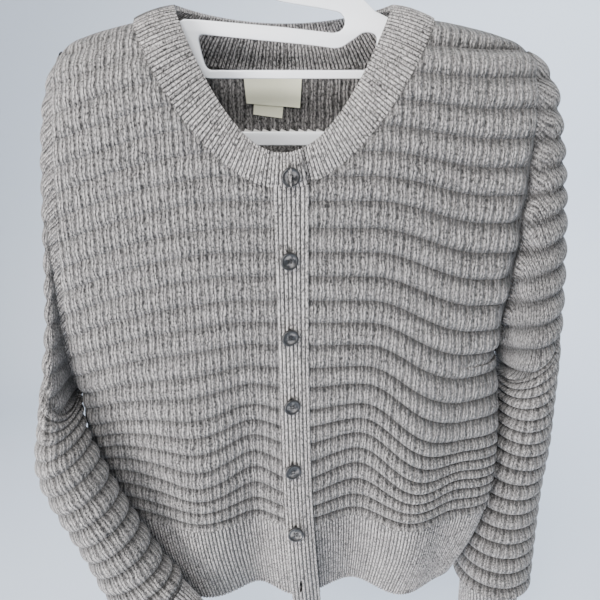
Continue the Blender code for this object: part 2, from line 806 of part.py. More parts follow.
HANGER_LOOP = (
    (-0.0735, -0.0945), (0.0230, -0.1032), (0.0480, -0.1063), (0.0600, -0.0985),
    (0.0690, -0.0925), (0.0800, -0.0950), (0.0795, -0.1060), (0.0745, -0.1232),
    (-0.0670, -0.1232), (-0.0705, -0.1120),
)
HANGER_FRAME_GAP = (
    (-0.0900, -0.0990), (-0.0840, -0.1000), (-0.0790, -0.1130), (-0.0710, -0.1302),
    (0.0760, -0.1302), (0.0880, -0.1130), (0.0900, -0.0960), (0.1280, -0.1020),
    (0.1700, -0.1120), (0.1745, -0.1500), (0.1600, -0.1750), (-0.1550, -0.1750),
    (-0.1640, -0.1500), (-0.1560, -0.1125),
)


def make_hanger(material):
    curve = bpy.data.curves.new("hanger", "CURVE")
    curve.dimensions = "2D"
    curve.fill_mode = "BOTH"
    curve.extrude = HANGER_THICKNESS / 2
    loop = rounded(HANGER_LOOP, HANGER_LOOP_CORNER)
    frame_gap = rounded(HANGER_FRAME_GAP, HANGER_FRAME_CORNER)
    for outline in (hanger_outline(), loop, frame_gap):
        spline = curve.splines.new("POLY")
        spline.points.add(len(outline) - 1)
        for point, (x, z) in zip(spline.points, outline):
            point.co = (x, z, 0.0, 1.0)
        spline.use_cyclic_u = True
    curve.materials.append(material)
    hanger = bpy.data.objects.new("hanger", curve)
    hanger.rotation_euler = (math.radians(90), 0.0, 0.0)
    bpy.context.scene.collection.objects.link(hanger)


def main():
    for item in list(bpy.data.objects):
        bpy.data.objects.remove(item, do_unlink=True)
    knit = finish("welted_knit", (0.26, 0.25, 0.245), 0.95)
    rib = finish("ribbed_knit", (0.25, 0.24, 0.235), 0.95)
    button = finish("button_horn", (0.055, 0.052, 0.05), 0.3)
    label = finish("label_cloth", (0.82, 0.80, 0.70), 0.8)
    plastic = finish("hanger_plastic", (0.88, 0.88, 0.89), 0.25)
    make_fronts(knit)
    make_back(knit)
    make_hem_ribs(rib)
    make_sleeves(knit, rib)
    neckband = make_neckband(rib)
    top_band, _ = make_plackets(rib)
    make_slits(neckband, top_band)
    make_buttons(button)
    make_labels(label)
    make_hanger(plastic)


main()
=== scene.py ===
import math
from collections import namedtuple

import bmesh
import bpy
import numpy as np
from mathutils import Matrix, Vector


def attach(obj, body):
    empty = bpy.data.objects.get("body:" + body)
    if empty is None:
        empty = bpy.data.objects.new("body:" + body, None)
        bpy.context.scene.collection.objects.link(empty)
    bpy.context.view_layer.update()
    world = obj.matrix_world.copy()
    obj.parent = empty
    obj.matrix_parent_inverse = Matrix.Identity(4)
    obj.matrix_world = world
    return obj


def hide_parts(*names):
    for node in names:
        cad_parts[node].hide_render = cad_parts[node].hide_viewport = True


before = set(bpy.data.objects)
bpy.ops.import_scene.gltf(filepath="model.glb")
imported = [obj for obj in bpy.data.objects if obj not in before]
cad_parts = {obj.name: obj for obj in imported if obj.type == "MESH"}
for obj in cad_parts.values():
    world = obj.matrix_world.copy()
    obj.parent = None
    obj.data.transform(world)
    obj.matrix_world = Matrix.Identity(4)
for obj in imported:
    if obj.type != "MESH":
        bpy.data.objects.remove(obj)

bl_info = {
    "name": "Button Cardigan",
    "version": (1, 0, 0),
    "blender": (4, 5, 0),
    "location": "View3D > Sidebar > Cardigan",
    "description": "Builds a welted button cardigan on its hanger, with its stage",
    "category": "Add Mesh",
}

# Cloth, seams and the heights that divide the body
WALL = 0.003
SEAM_GAP = 0.0004
ARMHOLE_GAP = 0.0010
PLACKET_GAP = 0.0006
SHOULDER_TIP = -0.112
SHOULDER_ROUND = 0.075
RIB_TOP = -0.577
HEM = -0.677
PLACKET_END = -0.686
CROSS_POWER = 6.0

# Armholes
UNDERARM = {1: -0.390, -1: -0.430}
ARMHOLE_DEPTH = 0.040

# Neckline seam and neckband
NECK_HALF_WIDTH = 0.126
NECK_SIDE_Z = -0.0845
FRONT_NECK_DROP = 0.131
BACK_NECK_DROP = 0.0375
NECK_OPENING_HALF_WIDTH = 0.091
NECK_OPENING_SIDE_Z = -0.074
NECK_OPENING_FRONT_DROP = 0.1145
NECK_OPENING_BACK_DROP = 0.011
NECK_OPENING_FRONT_Y = -0.041
NECK_OPENING_BACK_Y = 0.027
NECKBAND_WALL = 0.0045
NECKBAND_SHOULDER_GAP = 0.0018
NECKBAND_CROWN = 0.0015
NECKBAND_LAP = 0.0027

# Plackets
BAND_OFFSET = 0.0024
TOP_BAND_FLARE = 0.0062
FLARE_START = -0.555
FLARE_END = -0.635

# Buttons
BUTTON_RADIUS = 0.0083
BUTTON_THICKNESS = 0.0036
HOLE_RADIUS = 0.0009
HOLE_SPREAD = 0.0018
SHANK_RADIUS = 0.0009
BUTTON_TURN = 20.0
BUTTON_CLEARANCE = 0.0034
HIDDEN_CLEARANCE = 0.0007
FIRST_BUTTON_Z = -0.207
BUTTON_PITCH = 0.0745
SLIT_WIDTH = 0.0026
SLIT_HEIGHT = 0.0150

# Labels
LABEL_WALL = 0.001
LABEL_GAP = 0.0005

# Hanger
HANGER_THICKNESS = 0.008
HOOK_RADIUS = 0.020
HOOK_WIDTH = 0.009

Side = namedtuple("Side", "z right left")
SIDES = (
    Side(-0.080, 0.211, 0.192),
    Side(-0.112, 0.212, 0.193),
    Side(-0.250, 0.214, 0.200),
    Side(-0.390, 0.2145, 0.211),
    Side(-0.430, 0.2205, 0.214),
    Side(-0.480, 0.2265, 0.214),
    Side(-0.560, 0.2270, 0.211),
    Side(-0.620, 0.2150, 0.202),
    Side(-0.690, 0.1860, 0.180),
)

Depth = namedtuple("Depth", "z front back")
DEPTHS = (
    Depth(-0.080, 0.036, 0.030),
    Depth(-0.200, 0.041, 0.035),
    Depth(-0.350, 0.043, 0.038),
    Depth(-0.500, 0.041, 0.038),
    Depth(-0.600, 0.041, 0.038),
    Depth(-0.680, 0.034, 0.032),
)

Shoulder = namedtuple("Shoulder", "share z")
SHOULDERS = (
    Shoulder(0.00, -0.0830),
    Shoulder(0.58, -0.0845),
    Shoulder(0.75, -0.0910),
    Shoulder(0.87, -0.0975),
    Shoulder(0.95, -0.1040),
    Shoulder(1.00, SHOULDER_TIP),
)

Placket = namedtuple("Placket", "z left right button")
PLACKETS = (
    Placket(-0.180, -0.0090, 0.0215, 0.0060),
    Placket(-0.300, -0.0070, 0.0215, 0.0040),
    Placket(-0.450, -0.0040, 0.0235, 0.0060),
    Placket(-0.550, -0.0010, 0.0265, 0.0075),
    Placket(-0.620, 0.0030, 0.0310, 0.0125),
    Placket(-0.690, 0.0075, 0.0365, 0.0180),
)

# A fold's push is out of the body. It begins at start and is full at full.
Fold = namedtuple("Fold", "x half_width push start full")
FRONT_FOLDS = (
    Fold(-0.175, 0.028, -0.007, -0.32, -0.62),
    Fold(-0.090, 0.036, 0.016, -0.30, -0.61),
    Fold(-0.034, 0.022, -0.010, -0.32, -0.62),
    Fold(0.012, 0.026, 0.012, -0.38, -0.66),
    Fold(0.076, 0.030, -0.015, -0.36, -0.62),
    Fold(0.130, 0.034, 0.015, -0.28, -0.60),
    Fold(0.178, 0.024, -0.008, -0.40, -0.64),
)
BACK_FOLDS = (
    Fold(-0.140, 0.034, 0.012, -0.30, -0.62),
    Fold(-0.078, 0.030, -0.012, -0.36, -0.60),
    Fold(-0.018, 0.036, 0.011, -0.40, -0.64),
    Fold(0.048, 0.028, -0.010, -0.34, -0.62),
    Fold(0.112, 0.036, 0.013, -0.30, -0.60),
    Fold(0.168, 0.026, -0.008, -0.42, -0.64),
)

# Each row is one ring of a sleeve: its outer and inner edge, its middle in Y
# and its half depth.
Ring = namedtuple("Ring", "outer_x outer_z inner_x inner_z y half_depth")
WEARER_LEFT_SLEEVE = (
    Ring(0.2290, -0.130, 0.2185, -0.3910, 0.000, 0.0400),
    Ring(0.2380, -0.158, 0.2225, -0.3940, 0.000, 0.0415),
    Ring(0.2480, -0.205, 0.2260, -0.3990, 0.001, 0.0430),
    Ring(0.2565, -0.262, 0.2290, -0.4060, 0.003, 0.0445),
    Ring(0.2645, -0.325, 0.2315, -0.4160, 0.006, 0.0450),
    Ring(0.2725, -0.390, 0.2335, -0.4340, 0.011, 0.0445),
    Ring(0.2800, -0.450, 0.2335, -0.4680, 0.018, 0.0440),
    Ring(0.2880, -0.512, 0.2300, -0.5130, 0.026, 0.0435),
    Ring(0.2895, -0.572, 0.2235, -0.5720, 0.029, 0.0430),
    Ring(0.2915, -0.640, 0.2165, -0.6400, 0.026, 0.0420),
    Ring(0.2920, -0.712, 0.2145, -0.7120, 0.018, 0.0410),
)
WEARER_LEFT_CUFF = (
    Ring(0.2890, -0.7130, 0.2175, -0.7130, 0.018, 0.0370),
    Ring(0.2850, -0.7300, 0.2200, -0.7300, 0.017, 0.0345),
    Ring(0.2830, -0.7550, 0.2210, -0.7550, 0.016, 0.0335),
    Ring(0.2820, -0.7780, 0.2215, -0.7780, 0.015, 0.0330),
)
WEARER_RIGHT_SLEEVE = (
    Ring(-0.2035, -0.137, -0.2185, -0.4315, 0.000, 0.0395),
    Ring(-0.2070, -0.172, -0.2215, -0.4340, -0.002, 0.0390),
    Ring(-0.2120, -0.235, -0.2228, -0.4375, -0.006, 0.0385),
    Ring(-0.2215, -0.325, -0.2222, -0.4415, -0.013, 0.0375),
    Ring(-0.2310, -0.395, -0.2190, -0.4455, -0.029, 0.0360),
    Ring(-0.2390, -0.450, -0.2110, -0.4530, -0.045, 0.0335),
    Ring(-0.2440, -0.482, -0.2030, -0.4660, -0.054, 0.0310),
    Ring(-0.2405, -0.508, -0.1935, -0.4815, -0.060, 0.0290),
    Ring(-0.2270, -0.540, -0.1790, -0.5125, -0.066, 0.0275),
    Ring(-0.2120, -0.573, -0.1630, -0.5445, -0.070, 0.0265),
    Ring(-0.2000, -0.603, -0.1475, -0.5725, -0.073, 0.0255),
    Ring(-0.1880, -0.635, -0.1290, -0.6045, -0.077, 0.0245),
    Ring(-0.1670, -0.668, -0.1109, -0.6253, -0.080, 0.0240),
)
WEARER_RIGHT_CUFF = (
    Ring(-0.1630, -0.6695, -0.1125, -0.6300, -0.080, 0.0220),
    Ring(-0.1500, -0.6800, -0.1030, -0.6420, -0.081, 0.0205),
    Ring(-0.1350, -0.7000, -0.0880, -0.6630, -0.082, 0.0200),
    Ring(-0.1190, -0.7200, -0.0730, -0.6840, -0.083, 0.0195),
)


# Welts. Each height is the groove above a welt, at the middle of the body.
GROOVES = (
    -0.0190, -0.0400, -0.0610, -0.0820, -0.1030, -0.1240, -0.1450, -0.1660,
    -0.1870, -0.2079, -0.2293, -0.2533, -0.2754, -0.2981, -0.3216, -0.3438,
    -0.3672, -0.3912, -0.4120, -0.4364, -0.4555, -0.4745, -0.4952, -0.5150,
    -0.5342, -0.5524, -0.5684, -0.5850,
)
WELT_SHARES = (0.0, 0.04, 0.09, 0.16, 0.27, 0.40, 0.54, 0.68, 0.80, 0.90, 0.96)
SLEEVE_WELT_PITCH = 0.0205
SAG_START = -0.040
SAG_WIDTH = 0.130
SAG_DROP = 0.026
SAG_POWER = 1.8
SAG_FADE = -0.400
CREASE_START = -0.150
CREASE_FULL = -0.200
LEFT_SAG_START = 0.080
LEFT_SAG_END = 0.178
LEFT_SAG_TOP = -0.120
LEFT_SAG_SLOPE = 0.135
FOLD_WAVE = 0.72
WAVE_AHEAD = 0.04
CREASE_TUCK = 0.011
CREASE_WIDTH = 0.0085
CREASE_SWING = 0.0035
CREASE_ZIGZAG = 0.047
WAVE_FADE = -0.500
INNER_COLUMN_STEP = 8
INNER_ROW_STEP = 5
INNER_BULGE = 0.6

# Ribs
RIB_PITCH = 0.0036
RIB_SAMPLES = 6
RIB_ROW = 0.006
PLACKET_RIBS = 8
PLACKET_COVER = 0.0008

# Where along each sleeve its own welts take over from the body's
SLEEVE_BLEND = {-1: (4.2, 5.6), 1: (5.2, 5.8)}
SLEEVE_TILT = 0.35
SLEEVE_TUCK = 0.0022
SLEEVE_DEPTH = 0.35

# Neckband ends
NECKBAND_SETTLE = 0.28
NECKBAND_LAP_ANGLE = 0.32
NECKBAND_ROWS = 13
NECKBAND_COVER = 0.0016
NECKBAND_RIB_SHARE = 0.62
WOOL = {"Roughness": 0.95, "Specular IOR Level": 0.2, "Sheen Weight": 0.22, "Sheen Roughness": 0.6}

# A button's outline from its back's middle to its face's middle: radius and height
BUTTON_PROFILE = (
    (0.30, 0.00), (0.80, 0.00), (0.90, 0.08), (0.97, 0.26), (1.00, 0.48),
    (0.995, 0.70), (0.96, 0.88), (0.90, 0.98), (0.84, 1.00), (0.78, 0.95),
    (0.73, 0.86), (0.67, 0.78), (0.58, 0.74), (0.40, 0.72), (0.20, 0.71),
)
BUTTON_SIDES = 64
THREAD_RADIUS = 0.00035
HANGER_LOOP = (
    (-0.0735, -0.0945), (0.0230, -0.1032), (0.0480, -0.1063), (0.0600, -0.0985),
    (0.0690, -0.0925), (0.0800, -0.0950), (0.0795, -0.1060), (0.0745, -0.1232),
    (-0.0670, -0.1232), (-0.0705, -0.1120),
)
HANGER_FRAME_GAP = (
    (-0.0900, -0.0990), (-0.0840, -0.1000), (-0.0790, -0.1130), (-0.0710, -0.1302),
    (0.0760, -0.1302), (0.0880, -0.1130), (0.0900, -0.0960), (0.1280, -0.1020),
    (0.1700, -0.1120), (0.1745, -0.1500), (0.1600, -0.1750), (-0.1550, -0.1750),
    (-0.1640, -0.1500), (-0.1560, -0.1125),
)
TOOTH_PITCH = 0.0081
TOOTH_HEIGHT = 0.0030
TEETH_START = -0.0770
TEETH_COUNT = 20
TEETH_LEVEL = -0.1752

# Labels, camera and floor
MAIN_LABEL = ((-0.038, -0.1245), (0.016, -0.1245), (0.014, -0.1565), (-0.036, -0.1525))
SMALL_LABEL = ((-0.029, -0.1500), (-0.001, -0.1510), (-0.003, -0.1660), (-0.030, -0.1625))
CAMERA_LENS = 36.0
CAMERA_PLACE = (0.014, -0.560, -0.120)
CAMERA_DIP = 21.3
FLOOR_LEVEL = -0.90
BACKDROP_PLACE = 1.2
HEM_FRONT_WIDTH = 0.215
HEM_BACK_WIDTH = 0.425


def smoothstep(start, end, value):
    share = np.clip((value - start) / (end - start), 0.0, 1.0)
    return share * share * (3.0 - 2.0 * share)


def read(rows, key, field, at):
    """A smooth curve through one column of a table."""
    keys = np.array([getattr(row, key) for row in rows])
    values = np.array([getattr(row, field) for row in rows])
    order = np.argsort(keys)
    keys, values = keys[order], values[order]
    slopes = np.gradient(values, keys)
    at = np.clip(at, keys[0], keys[-1])
    index = np.clip(np.searchsorted(keys, at) - 1, 0, len(keys) - 2)
    span = keys[index + 1] - keys[index]
    share = (at - keys[index]) / span
    rise = values[index + 1] - values[index]
    ease = share * share * (3.0 - 2.0 * share)
    lead = share * (1.0 - share) ** 2 * slopes[index] * span
    trail = share * share * (share - 1.0) * slopes[index + 1] * span
    return values[index] + rise * ease + lead + trail


def side_reach(side, z):
    return read(SIDES, "z", "right" if side > 0 else "left", z)


def armhole_depth(side, z):
    """Half the depth of the armhole's oval at a height."""
    middle = 0.5 * (SHOULDER_TIP + UNDERARM[side])
    half = 0.5 * (SHOULDER_TIP - UNDERARM[side])
    share = np.clip((z - middle) / half, -1.0, 1.0)
    return ARMHOLE_DEPTH * np.sqrt(1.0 - share * share)


def no_push(z):
    return 0.0 * z


def fold_push(folds, x, z):
    push = np.zeros(np.broadcast(x, z).shape)
    for fold in folds:
        bump = np.exp(-(((x - fold.x) / fold.half_width) ** 2))
        push = push + fold.push * bump * smoothstep(fold.start, fold.full, z)
    return push


def body_y(x, z, front):
    """The middle of the body's cloth, in Y, on the front or on the back."""
    x = np.asarray(x, float)
    z = np.asarray(z, float)
    right = x > 0
    reach = np.where(right, side_reach(1, z), side_reach(-1, z))
    share = np.clip(np.abs(x) / reach, 0.0, 1.0)
    below = np.maximum(read(SHOULDERS, "share", "z", share) - z, 0.0)
    rest = 1.0 - np.minimum(below / SHOULDER_ROUND, 1.0)
    ramp = np.sqrt(1.0 - rest * rest)
    edge = np.where(right, armhole_depth(1, z), armhole_depth(-1, z))
    full = read(DEPTHS, "z", "front" if front else "back", z)
    cross = np.sqrt(1.0 - share**CROSS_POWER)
    depth = edge + ramp * np.maximum(full - edge, 0.0) * cross
    push = fold_push(FRONT_FOLDS if front else BACK_FOLDS, x, z)
    out = depth + push * (1.0 - share**CROSS_POWER)
    out = out + 0.5 * SEAM_GAP
    return -out if front else out


def neck_z(x, front):
    """The height of the neckline seam."""
    share = np.clip(np.abs(x) / NECK_HALF_WIDTH, 0.0, 1.0)
    if front:
        return NECK_SIDE_Z - FRONT_NECK_DROP * (1.0 - share**2)
    return NECK_SIDE_Z - BACK_NECK_DROP * (1.0 - share**4)


def top_z(side, x, z, front):
    share = np.clip(np.abs(x) / side_reach(side, z), 0.0, 1.0)
    shoulder = read(SHOULDERS, "share", "z", share)
    return np.where(np.abs(x) < NECK_HALF_WIDTH, neck_z(x, front), shoulder)


def placket_edge(field, gap=0.0):
    def edge(z):
        return read(PLACKETS, "z", field, z) + gap

    return edge


def side_edge(side):
    def edge(z):
        return side * side_reach(side, z)

    return edge


def top_band_push(z):
    return -BAND_OFFSET - TOP_BAND_FLARE * smoothstep(FLARE_START, FLARE_END, z)


def under_band_push(z):
    return BAND_OFFSET + 0.0 * z


FRONT_INNER_EDGE = {
    1: placket_edge("right", PLACKET_GAP),
    -1: placket_edge("left", -PLACKET_GAP),
}


def armhole_points(side, count):
    """The sleeve's first ring, face to face with the armhole's edge."""
    angles = np.arange(count) * 2.0 * math.pi / count
    middle = 0.5 * (SHOULDER_TIP + UNDERARM[side])
    half = 0.5 * (SHOULDER_TIP - UNDERARM[side])
    z = middle + half * np.cos(angles)
    clear = ARMHOLE_GAP + 0.5 * WALL * smoothstep(0.7, 1.0, -np.cos(angles))
    x = side * (side_reach(side, z) + clear)
    return np.stack([x, -np.sin(angles) * ARMHOLE_DEPTH, z], axis=1)


def neck_seam(angle):
    """A point of the neckline seam. Angle 0 is the front middle."""
    front = math.cos(angle) >= 0.0
    x = NECK_HALF_WIDTH * math.sin(angle)
    z = float(neck_z(x, front))
    return Vector((x, float(body_y(x, z, front)), z))


def neck_opening(angle):
    """A point of the neckband's free edge."""
    ahead = math.cos(angle)
    drop = NECK_OPENING_FRONT_DROP if ahead > 0 else NECK_OPENING_BACK_DROP
    reach = NECK_OPENING_FRONT_Y if ahead > 0 else -NECK_OPENING_BACK_Y
    x = NECK_OPENING_HALF_WIDTH * math.sin(angle)
    z = NECK_OPENING_SIDE_Z - drop * ahead * ahead
    return Vector((x, reach * ahead, z))


def lap_angles():
    """Where the neckband's under end starts and its top end stops."""
    under = -0.0085 / NECK_HALF_WIDTH
    top = 2.0 * math.pi + 0.0205 / NECK_HALF_WIDTH
    return under, top


def button_heights():
    return [FIRST_BUTTON_Z - BUTTON_PITCH * count for count in range(7)]


def placket_spot(z, push):
    """A point on the button line, and the cloth's slope there."""
    x = float(read(PLACKETS, "z", "button", z))
    step = 0.006
    y = float(body_y(x, z, True)) + float(push(z))
    above = float(body_y(x, z + step, True)) + float(push(z + step))
    below = float(body_y(x, z - step, True)) + float(push(z - step))
    return Vector((x, y, z)), math.atan2(above - below, 2.0 * step)


def neckband_spot(z):
    """A point of the neckband's front middle, between its two ends."""
    seam, opening = neck_seam(0.0), neck_opening(0.0)
    share = (z - seam.z) / (opening.z - seam.z)
    point = seam.lerp(opening, share)
    point.y -= NECKBAND_CROWN * 4.0 * share * (1.0 - share)
    point.x = float(read(PLACKETS, "z", "button", z))
    return point


def arc(centre, radius, start, end, count):
    """Points of an arc in XZ, its angles in degrees."""
    points = []
    for angle in np.radians(np.linspace(start, end, count)):
        points.append((centre[0] + radius * math.cos(angle), centre[1] + radius * math.sin(angle)))
    return points


def rounded(corners, radius, count=4):
    """A closed outline with each corner rounded."""
    outline = []
    total = len(corners)
    for index in range(total):
        corner = Vector(corners[index])
        before = (Vector(corners[index - 1]) - corner)
        after = (Vector(corners[(index + 1) % total]) - corner)
        reach = min(radius, 0.45 * before.length, 0.45 * after.length)
        first = corner + before.normalized() * reach
        last = corner + after.normalized() * reach
        for share in np.linspace(0.0, 1.0, count):
            one = first.lerp(corner, share)
            two = corner.lerp(last, share)
            outline.append(tuple(one.lerp(two, share)))
    return outline


def hanger_outline():
    """The hanger's outer edge, from the hook's tip round by the right arm."""
    middle = (0.0, -HOOK_RADIUS)
    outer = HOOK_RADIUS + HOOK_WIDTH
    points = arc(middle, outer, 200, -62, 22)
    points += [(0.024, -0.0485), (0.040, -0.0530), (0.054, -0.0600), (0.068, -0.0690)]
    points += [(0.077, -0.0770), (0.0885, -0.0820), (0.128, -0.0915), (0.165, -0.1005)]
    points += arc((0.182, -0.1125), 0.0085, 70, -35, 6)
    points += [(0.184, -0.150)]
    points += arc((0.160, -0.164), 0.023, -10, -90, 6)
    points += arc((-0.151, -0.164), 0.023, -90, -170, 6)
    points += [(-0.1735, -0.150)]
    points += arc((-0.166, -0.1135), 0.0085, 215, 110, 6)
    points += [(-0.152, -0.1005), (-0.128, -0.0935), (-0.098, -0.0898)]
    points += [(-0.084, -0.0830), (-0.072, -0.0835), (0.000, -0.0893), (0.042, -0.0938)]
    points += arc((0.0440, -0.0853), 0.0082, -90, 80, 8)
    points += [(0.030, -0.0745), (0.000, -0.0700), (-0.014, -0.0665), (-0.020, -0.0600)]
    points += [(-0.018, -0.0530), (-0.010, -0.0480)]
    points += arc(middle, outer, 262, 262, 1)
    points += arc(middle, HOOK_RADIUS, -84, 200, 22)
    return points


def welt_bulge(phase):
    """How far a welt stands out, from 0 in its groove to 1 on its crown."""
    share = (phase - np.floor(phase)) ** 1.3
    return np.maximum(np.sin(np.pi * share), 0.0) ** 0.62


def welt_sag(x, height, front):
    """How far the welts droop towards the sleeves and over the folds."""
    reach = np.maximum((SAG_START - x) / SAG_WIDTH, 0.0)
    sag = SAG_DROP * reach**SAG_POWER
    slope = 0.005 + LEFT_SAG_SLOPE * np.maximum(LEFT_SAG_TOP - height, 0.0)
    sag = sag + slope * smoothstep(LEFT_SAG_START, LEFT_SAG_END, x)
    sag = sag * smoothstep(RIB_TOP, SAG_FADE, height)
    folds = FRONT_FOLDS if front else BACK_FOLDS
    wave = FOLD_WAVE * fold_push(folds, x, height - WAVE_AHEAD)
    return sag + wave * smoothstep(RIB_TOP, WAVE_FADE, height)


def welt_phases(last):
    """Rows that follow the welts, close together beside each groove."""
    phases = [welt + share for welt in range(int(last) + 1) for share in WELT_SHARES]
    return np.array([phase for phase in phases if phase < last - 0.02] + [last])


def body_normals(x, z, front):
    """Outward unit normals of the front or the back."""
    step = 0.0004
    slope_x = body_y(x + step, z, front) - body_y(x - step, z, front)
    slope_z = body_y(x, z + step, front) - body_y(x, z - step, front)
    way = -1.0 if front else 1.0
    normals = np.stack([-way * slope_x, way * 2.0 * step + 0.0 * x, -way * slope_z], axis=-1)
    return normals / np.linalg.norm(normals, axis=-1, keepdims=True)


def crease_tuck(x, z):
    """How far the cloth falls back into the crease along the wearer's left armhole."""
    deep = smoothstep(-0.15, -0.27, z) * smoothstep(-0.425, -0.375, z)
    swing = CREASE_SWING * np.sin(z * 2.0 * np.pi / CREASE_ZIGZAG)
    off = (x - side_reach(1, z) - swing) / CREASE_WIDTH
    return CREASE_TUCK * deep * np.exp(-off * off)


def panel_side(side, columns, front, inner_x):
    """Points, normals and knit coordinates of one side of a body panel."""
    last = np.interp(-RIB_TOP, [-height for height in GROOVES], range(len(GROOVES)))
    phases = welt_phases(last)
    heights = np.interp(phases, range(len(GROOVES)), GROOVES)[:, None]
    shares = np.linspace(0.0, 1.0, columns)[None, :]
    z = heights + 0.0 * shares
    for _ in range(12):
        x = inner_x(z) + shares * (side * side_reach(side, z) - inner_x(z))
        top = top_z(side, x, z, front)
        z = np.minimum(heights - welt_sag(x, heights, front), top)
    y = body_y(x, z, front)
    if front and side > 0:
        y = y + crease_tuck(x, z)
    normals = body_normals(x, z, front)
    turn = smoothstep(0.93, 1.0, shares)[..., None] * np.array([1.0, 0.0, 0.0])
    normals = normals * (1.0 - turn)
    on_middle = smoothstep(0.010, 0.0, np.abs(y))
    on_middle = on_middle * smoothstep(0.020, 0.0, top - z)
    normals[..., 1] *= 1.0 - on_middle
    normals /= np.linalg.norm(normals, axis=-1, keepdims=True)
    fade = smoothstep(0.0, 0.010, top - z)
    edge = (1.0 - shares) * side_reach(side, z)
    # Along the crease at the wearer's left armhole, and at the back's side edges, the knit value falls to
    # 0. The welts flatten there, and painted groove shade darkens the crease and the edges.
    if side > 0 or not front:
        creased = smoothstep(CREASE_START, CREASE_FULL, z) if front else 1.0
        fade = fade * (1.0 - creased * smoothstep(0.009, 0.0, edge))
    knit = np.stack([x, phases[:, None] + 0.0 * x, welt_bulge(phases)[:, None] * fade], axis=-1)
    return np.stack([x, y, z], axis=-1), normals, knit


def add_piece(name, mesh, material, *more):
    piece = bpy.data.objects.new(name, mesh)
    bpy.context.scene.collection.objects.link(piece)
    for one in (material, *more):
        mesh.materials.append(one)
    mesh.shade_smooth()
    mesh.set_sharp_from_angle(angle=math.radians(50))
    return piece


def mesh_with_knit(name, points, faces, knit):
    """A closed mesh, its knit coordinates kept on its points."""
    mesh = bpy.data.meshes.new(name)
    mesh.from_pydata(points.tolist(), [], faces)
    layer = mesh.attributes.new("knit", "FLOAT_VECTOR", "POINT")
    layer.data.foreach_set("vector", np.ascontiguousarray(knit, np.float32).ravel())
    shape = bmesh.new()
    shape.from_mesh(mesh)
    bmesh.ops.remove_doubles(shape, verts=shape.verts, dist=1e-6)
    bmesh.ops.recalc_face_normals(shape, faces=shape.faces)
    shape.to_mesh(mesh)
    shape.free()
    return mesh


def picks(count, step, ring=False):
    """Every step-th index, and the last one."""
    chosen = list(range(0, count, step))
    if ring:
        return chosen + [count]
    return chosen if chosen[-1] == count - 1 else chosen + [count - 1]


def welt_relief(middle, knit, welt_depth):
    """Welts stand out further towards the wearer's left."""
    return welt_depth * knit[..., 2] * (0.80 + 0.60 * smoothstep(-0.02, 0.16, middle[..., 0]))


def shell(name, middle, normals, relief, knit, material, wall=WALL, ring=False, steps=None, both=False):
    """Cloth with a finely shaped face and a plainer back, closed at its edges."""
    column_step, row_step = steps or (INNER_COLUMN_STEP, INNER_ROW_STEP)
    rows, columns = middle.shape[:2]
    outer = middle + normals * (wall / 2 + relief[..., None])
    row_picks = picks(rows, row_step)
    column_picks = picks(columns, column_step, ring)
    inner_columns = column_picks[:-1] if ring else column_picks
    inner_relief = relief if both else 0.0 * relief
    inner = middle - normals * (wall / 2 + inner_relief[..., None])
    inner = inner[np.ix_(row_picks, inner_columns)]
    inner_knit = knit[np.ix_(row_picks, inner_columns)]
    # The inner face gets a fixed knit value, which sets its painted groove shade.
    if not both:
        inner_knit[..., 2] = INNER_BULGE
    width = len(inner_columns)
    base = rows * columns

    def face_spot(row, column):
        return row * columns + column % columns

    def back_spot(row, column):
        return base + row * width + column % width

    faces = []
    for row in range(rows - 1):
        for column in range(columns if ring else columns - 1):
            loop = [face_spot(row, column), face_spot(row, column + 1)]
            loop += [face_spot(row + 1, column + 1), face_spot(row + 1, column)]
            faces.append(loop)
    for row in range(len(row_picks) - 1):
        for column in range(len(column_picks) - 1):
            loop = [back_spot(row + 1, column), back_spot(row + 1, column + 1)]
            loop += [back_spot(row, column + 1), back_spot(row, column)]
            faces.append(loop)
    for row, back_row in ((0, 0), (rows - 1, len(row_picks) - 1)):
        for index in range(len(column_picks) - 1):
            span = range(column_picks[index], column_picks[index + 1] + 1)
            loop = [face_spot(row, column) for column in span]
            faces.append(loop + [back_spot(back_row, index + 1), back_spot(back_row, index)])
    if not ring:
        for column, back_column in ((0, 0), (columns - 1, width - 1)):
            for index in range(len(row_picks) - 1):
                span = range(row_picks[index], row_picks[index + 1] + 1)
                loop = [face_spot(row, column) for row in span]
                faces.append(loop + [back_spot(index + 1, back_column), back_spot(index, back_column)])
    points = np.concatenate([outer.reshape(-1, 3), inner.reshape(-1, 3)])
    all_knit = np.concatenate([knit.reshape(-1, 3), inner_knit.reshape(-1, 3)])
    return add_piece(name, mesh_with_knit(name, points, faces, all_knit), material)


def fine_front(side, name, columns, welt_depth, material):
    middle, normals, knit = panel_side(side, columns, True, FRONT_INNER_EDGE[side])
    relief = welt_relief(middle, knit, welt_depth)
    return shell(name, middle, normals, relief, knit, material)


def fine_back(columns, welt_depth, material):
    halves = [panel_side(side, columns, False, no_push) for side in (-1, 1)]
    parts = [np.concatenate([a[:, ::-1], b[:, 1:]], axis=1) for a, b in zip(*halves)]
    middle, normals, knit = parts
    relief = welt_relief(middle, knit, welt_depth)
    return shell("back_knit", middle, normals, relief, knit, material)


def grid_normals(grid, ring, outward):
    down = np.gradient(grid, axis=0)
    if ring:
        across = np.roll(grid, -1, axis=1) - np.roll(grid, 1, axis=1)
    else:
        across = np.gradient(grid, axis=1)
    normals = np.cross(down, across)
    normals /= np.linalg.norm(normals, axis=-1, keepdims=True)
    facing = np.sum(normals * outward, axis=-1).mean()
    return normals if facing > 0 else -normals


def rib_height(periods):
    """A rounded rib that repeats once a period, from 0 to 1."""
    return np.sqrt(np.abs(np.sin(np.pi * periods)))


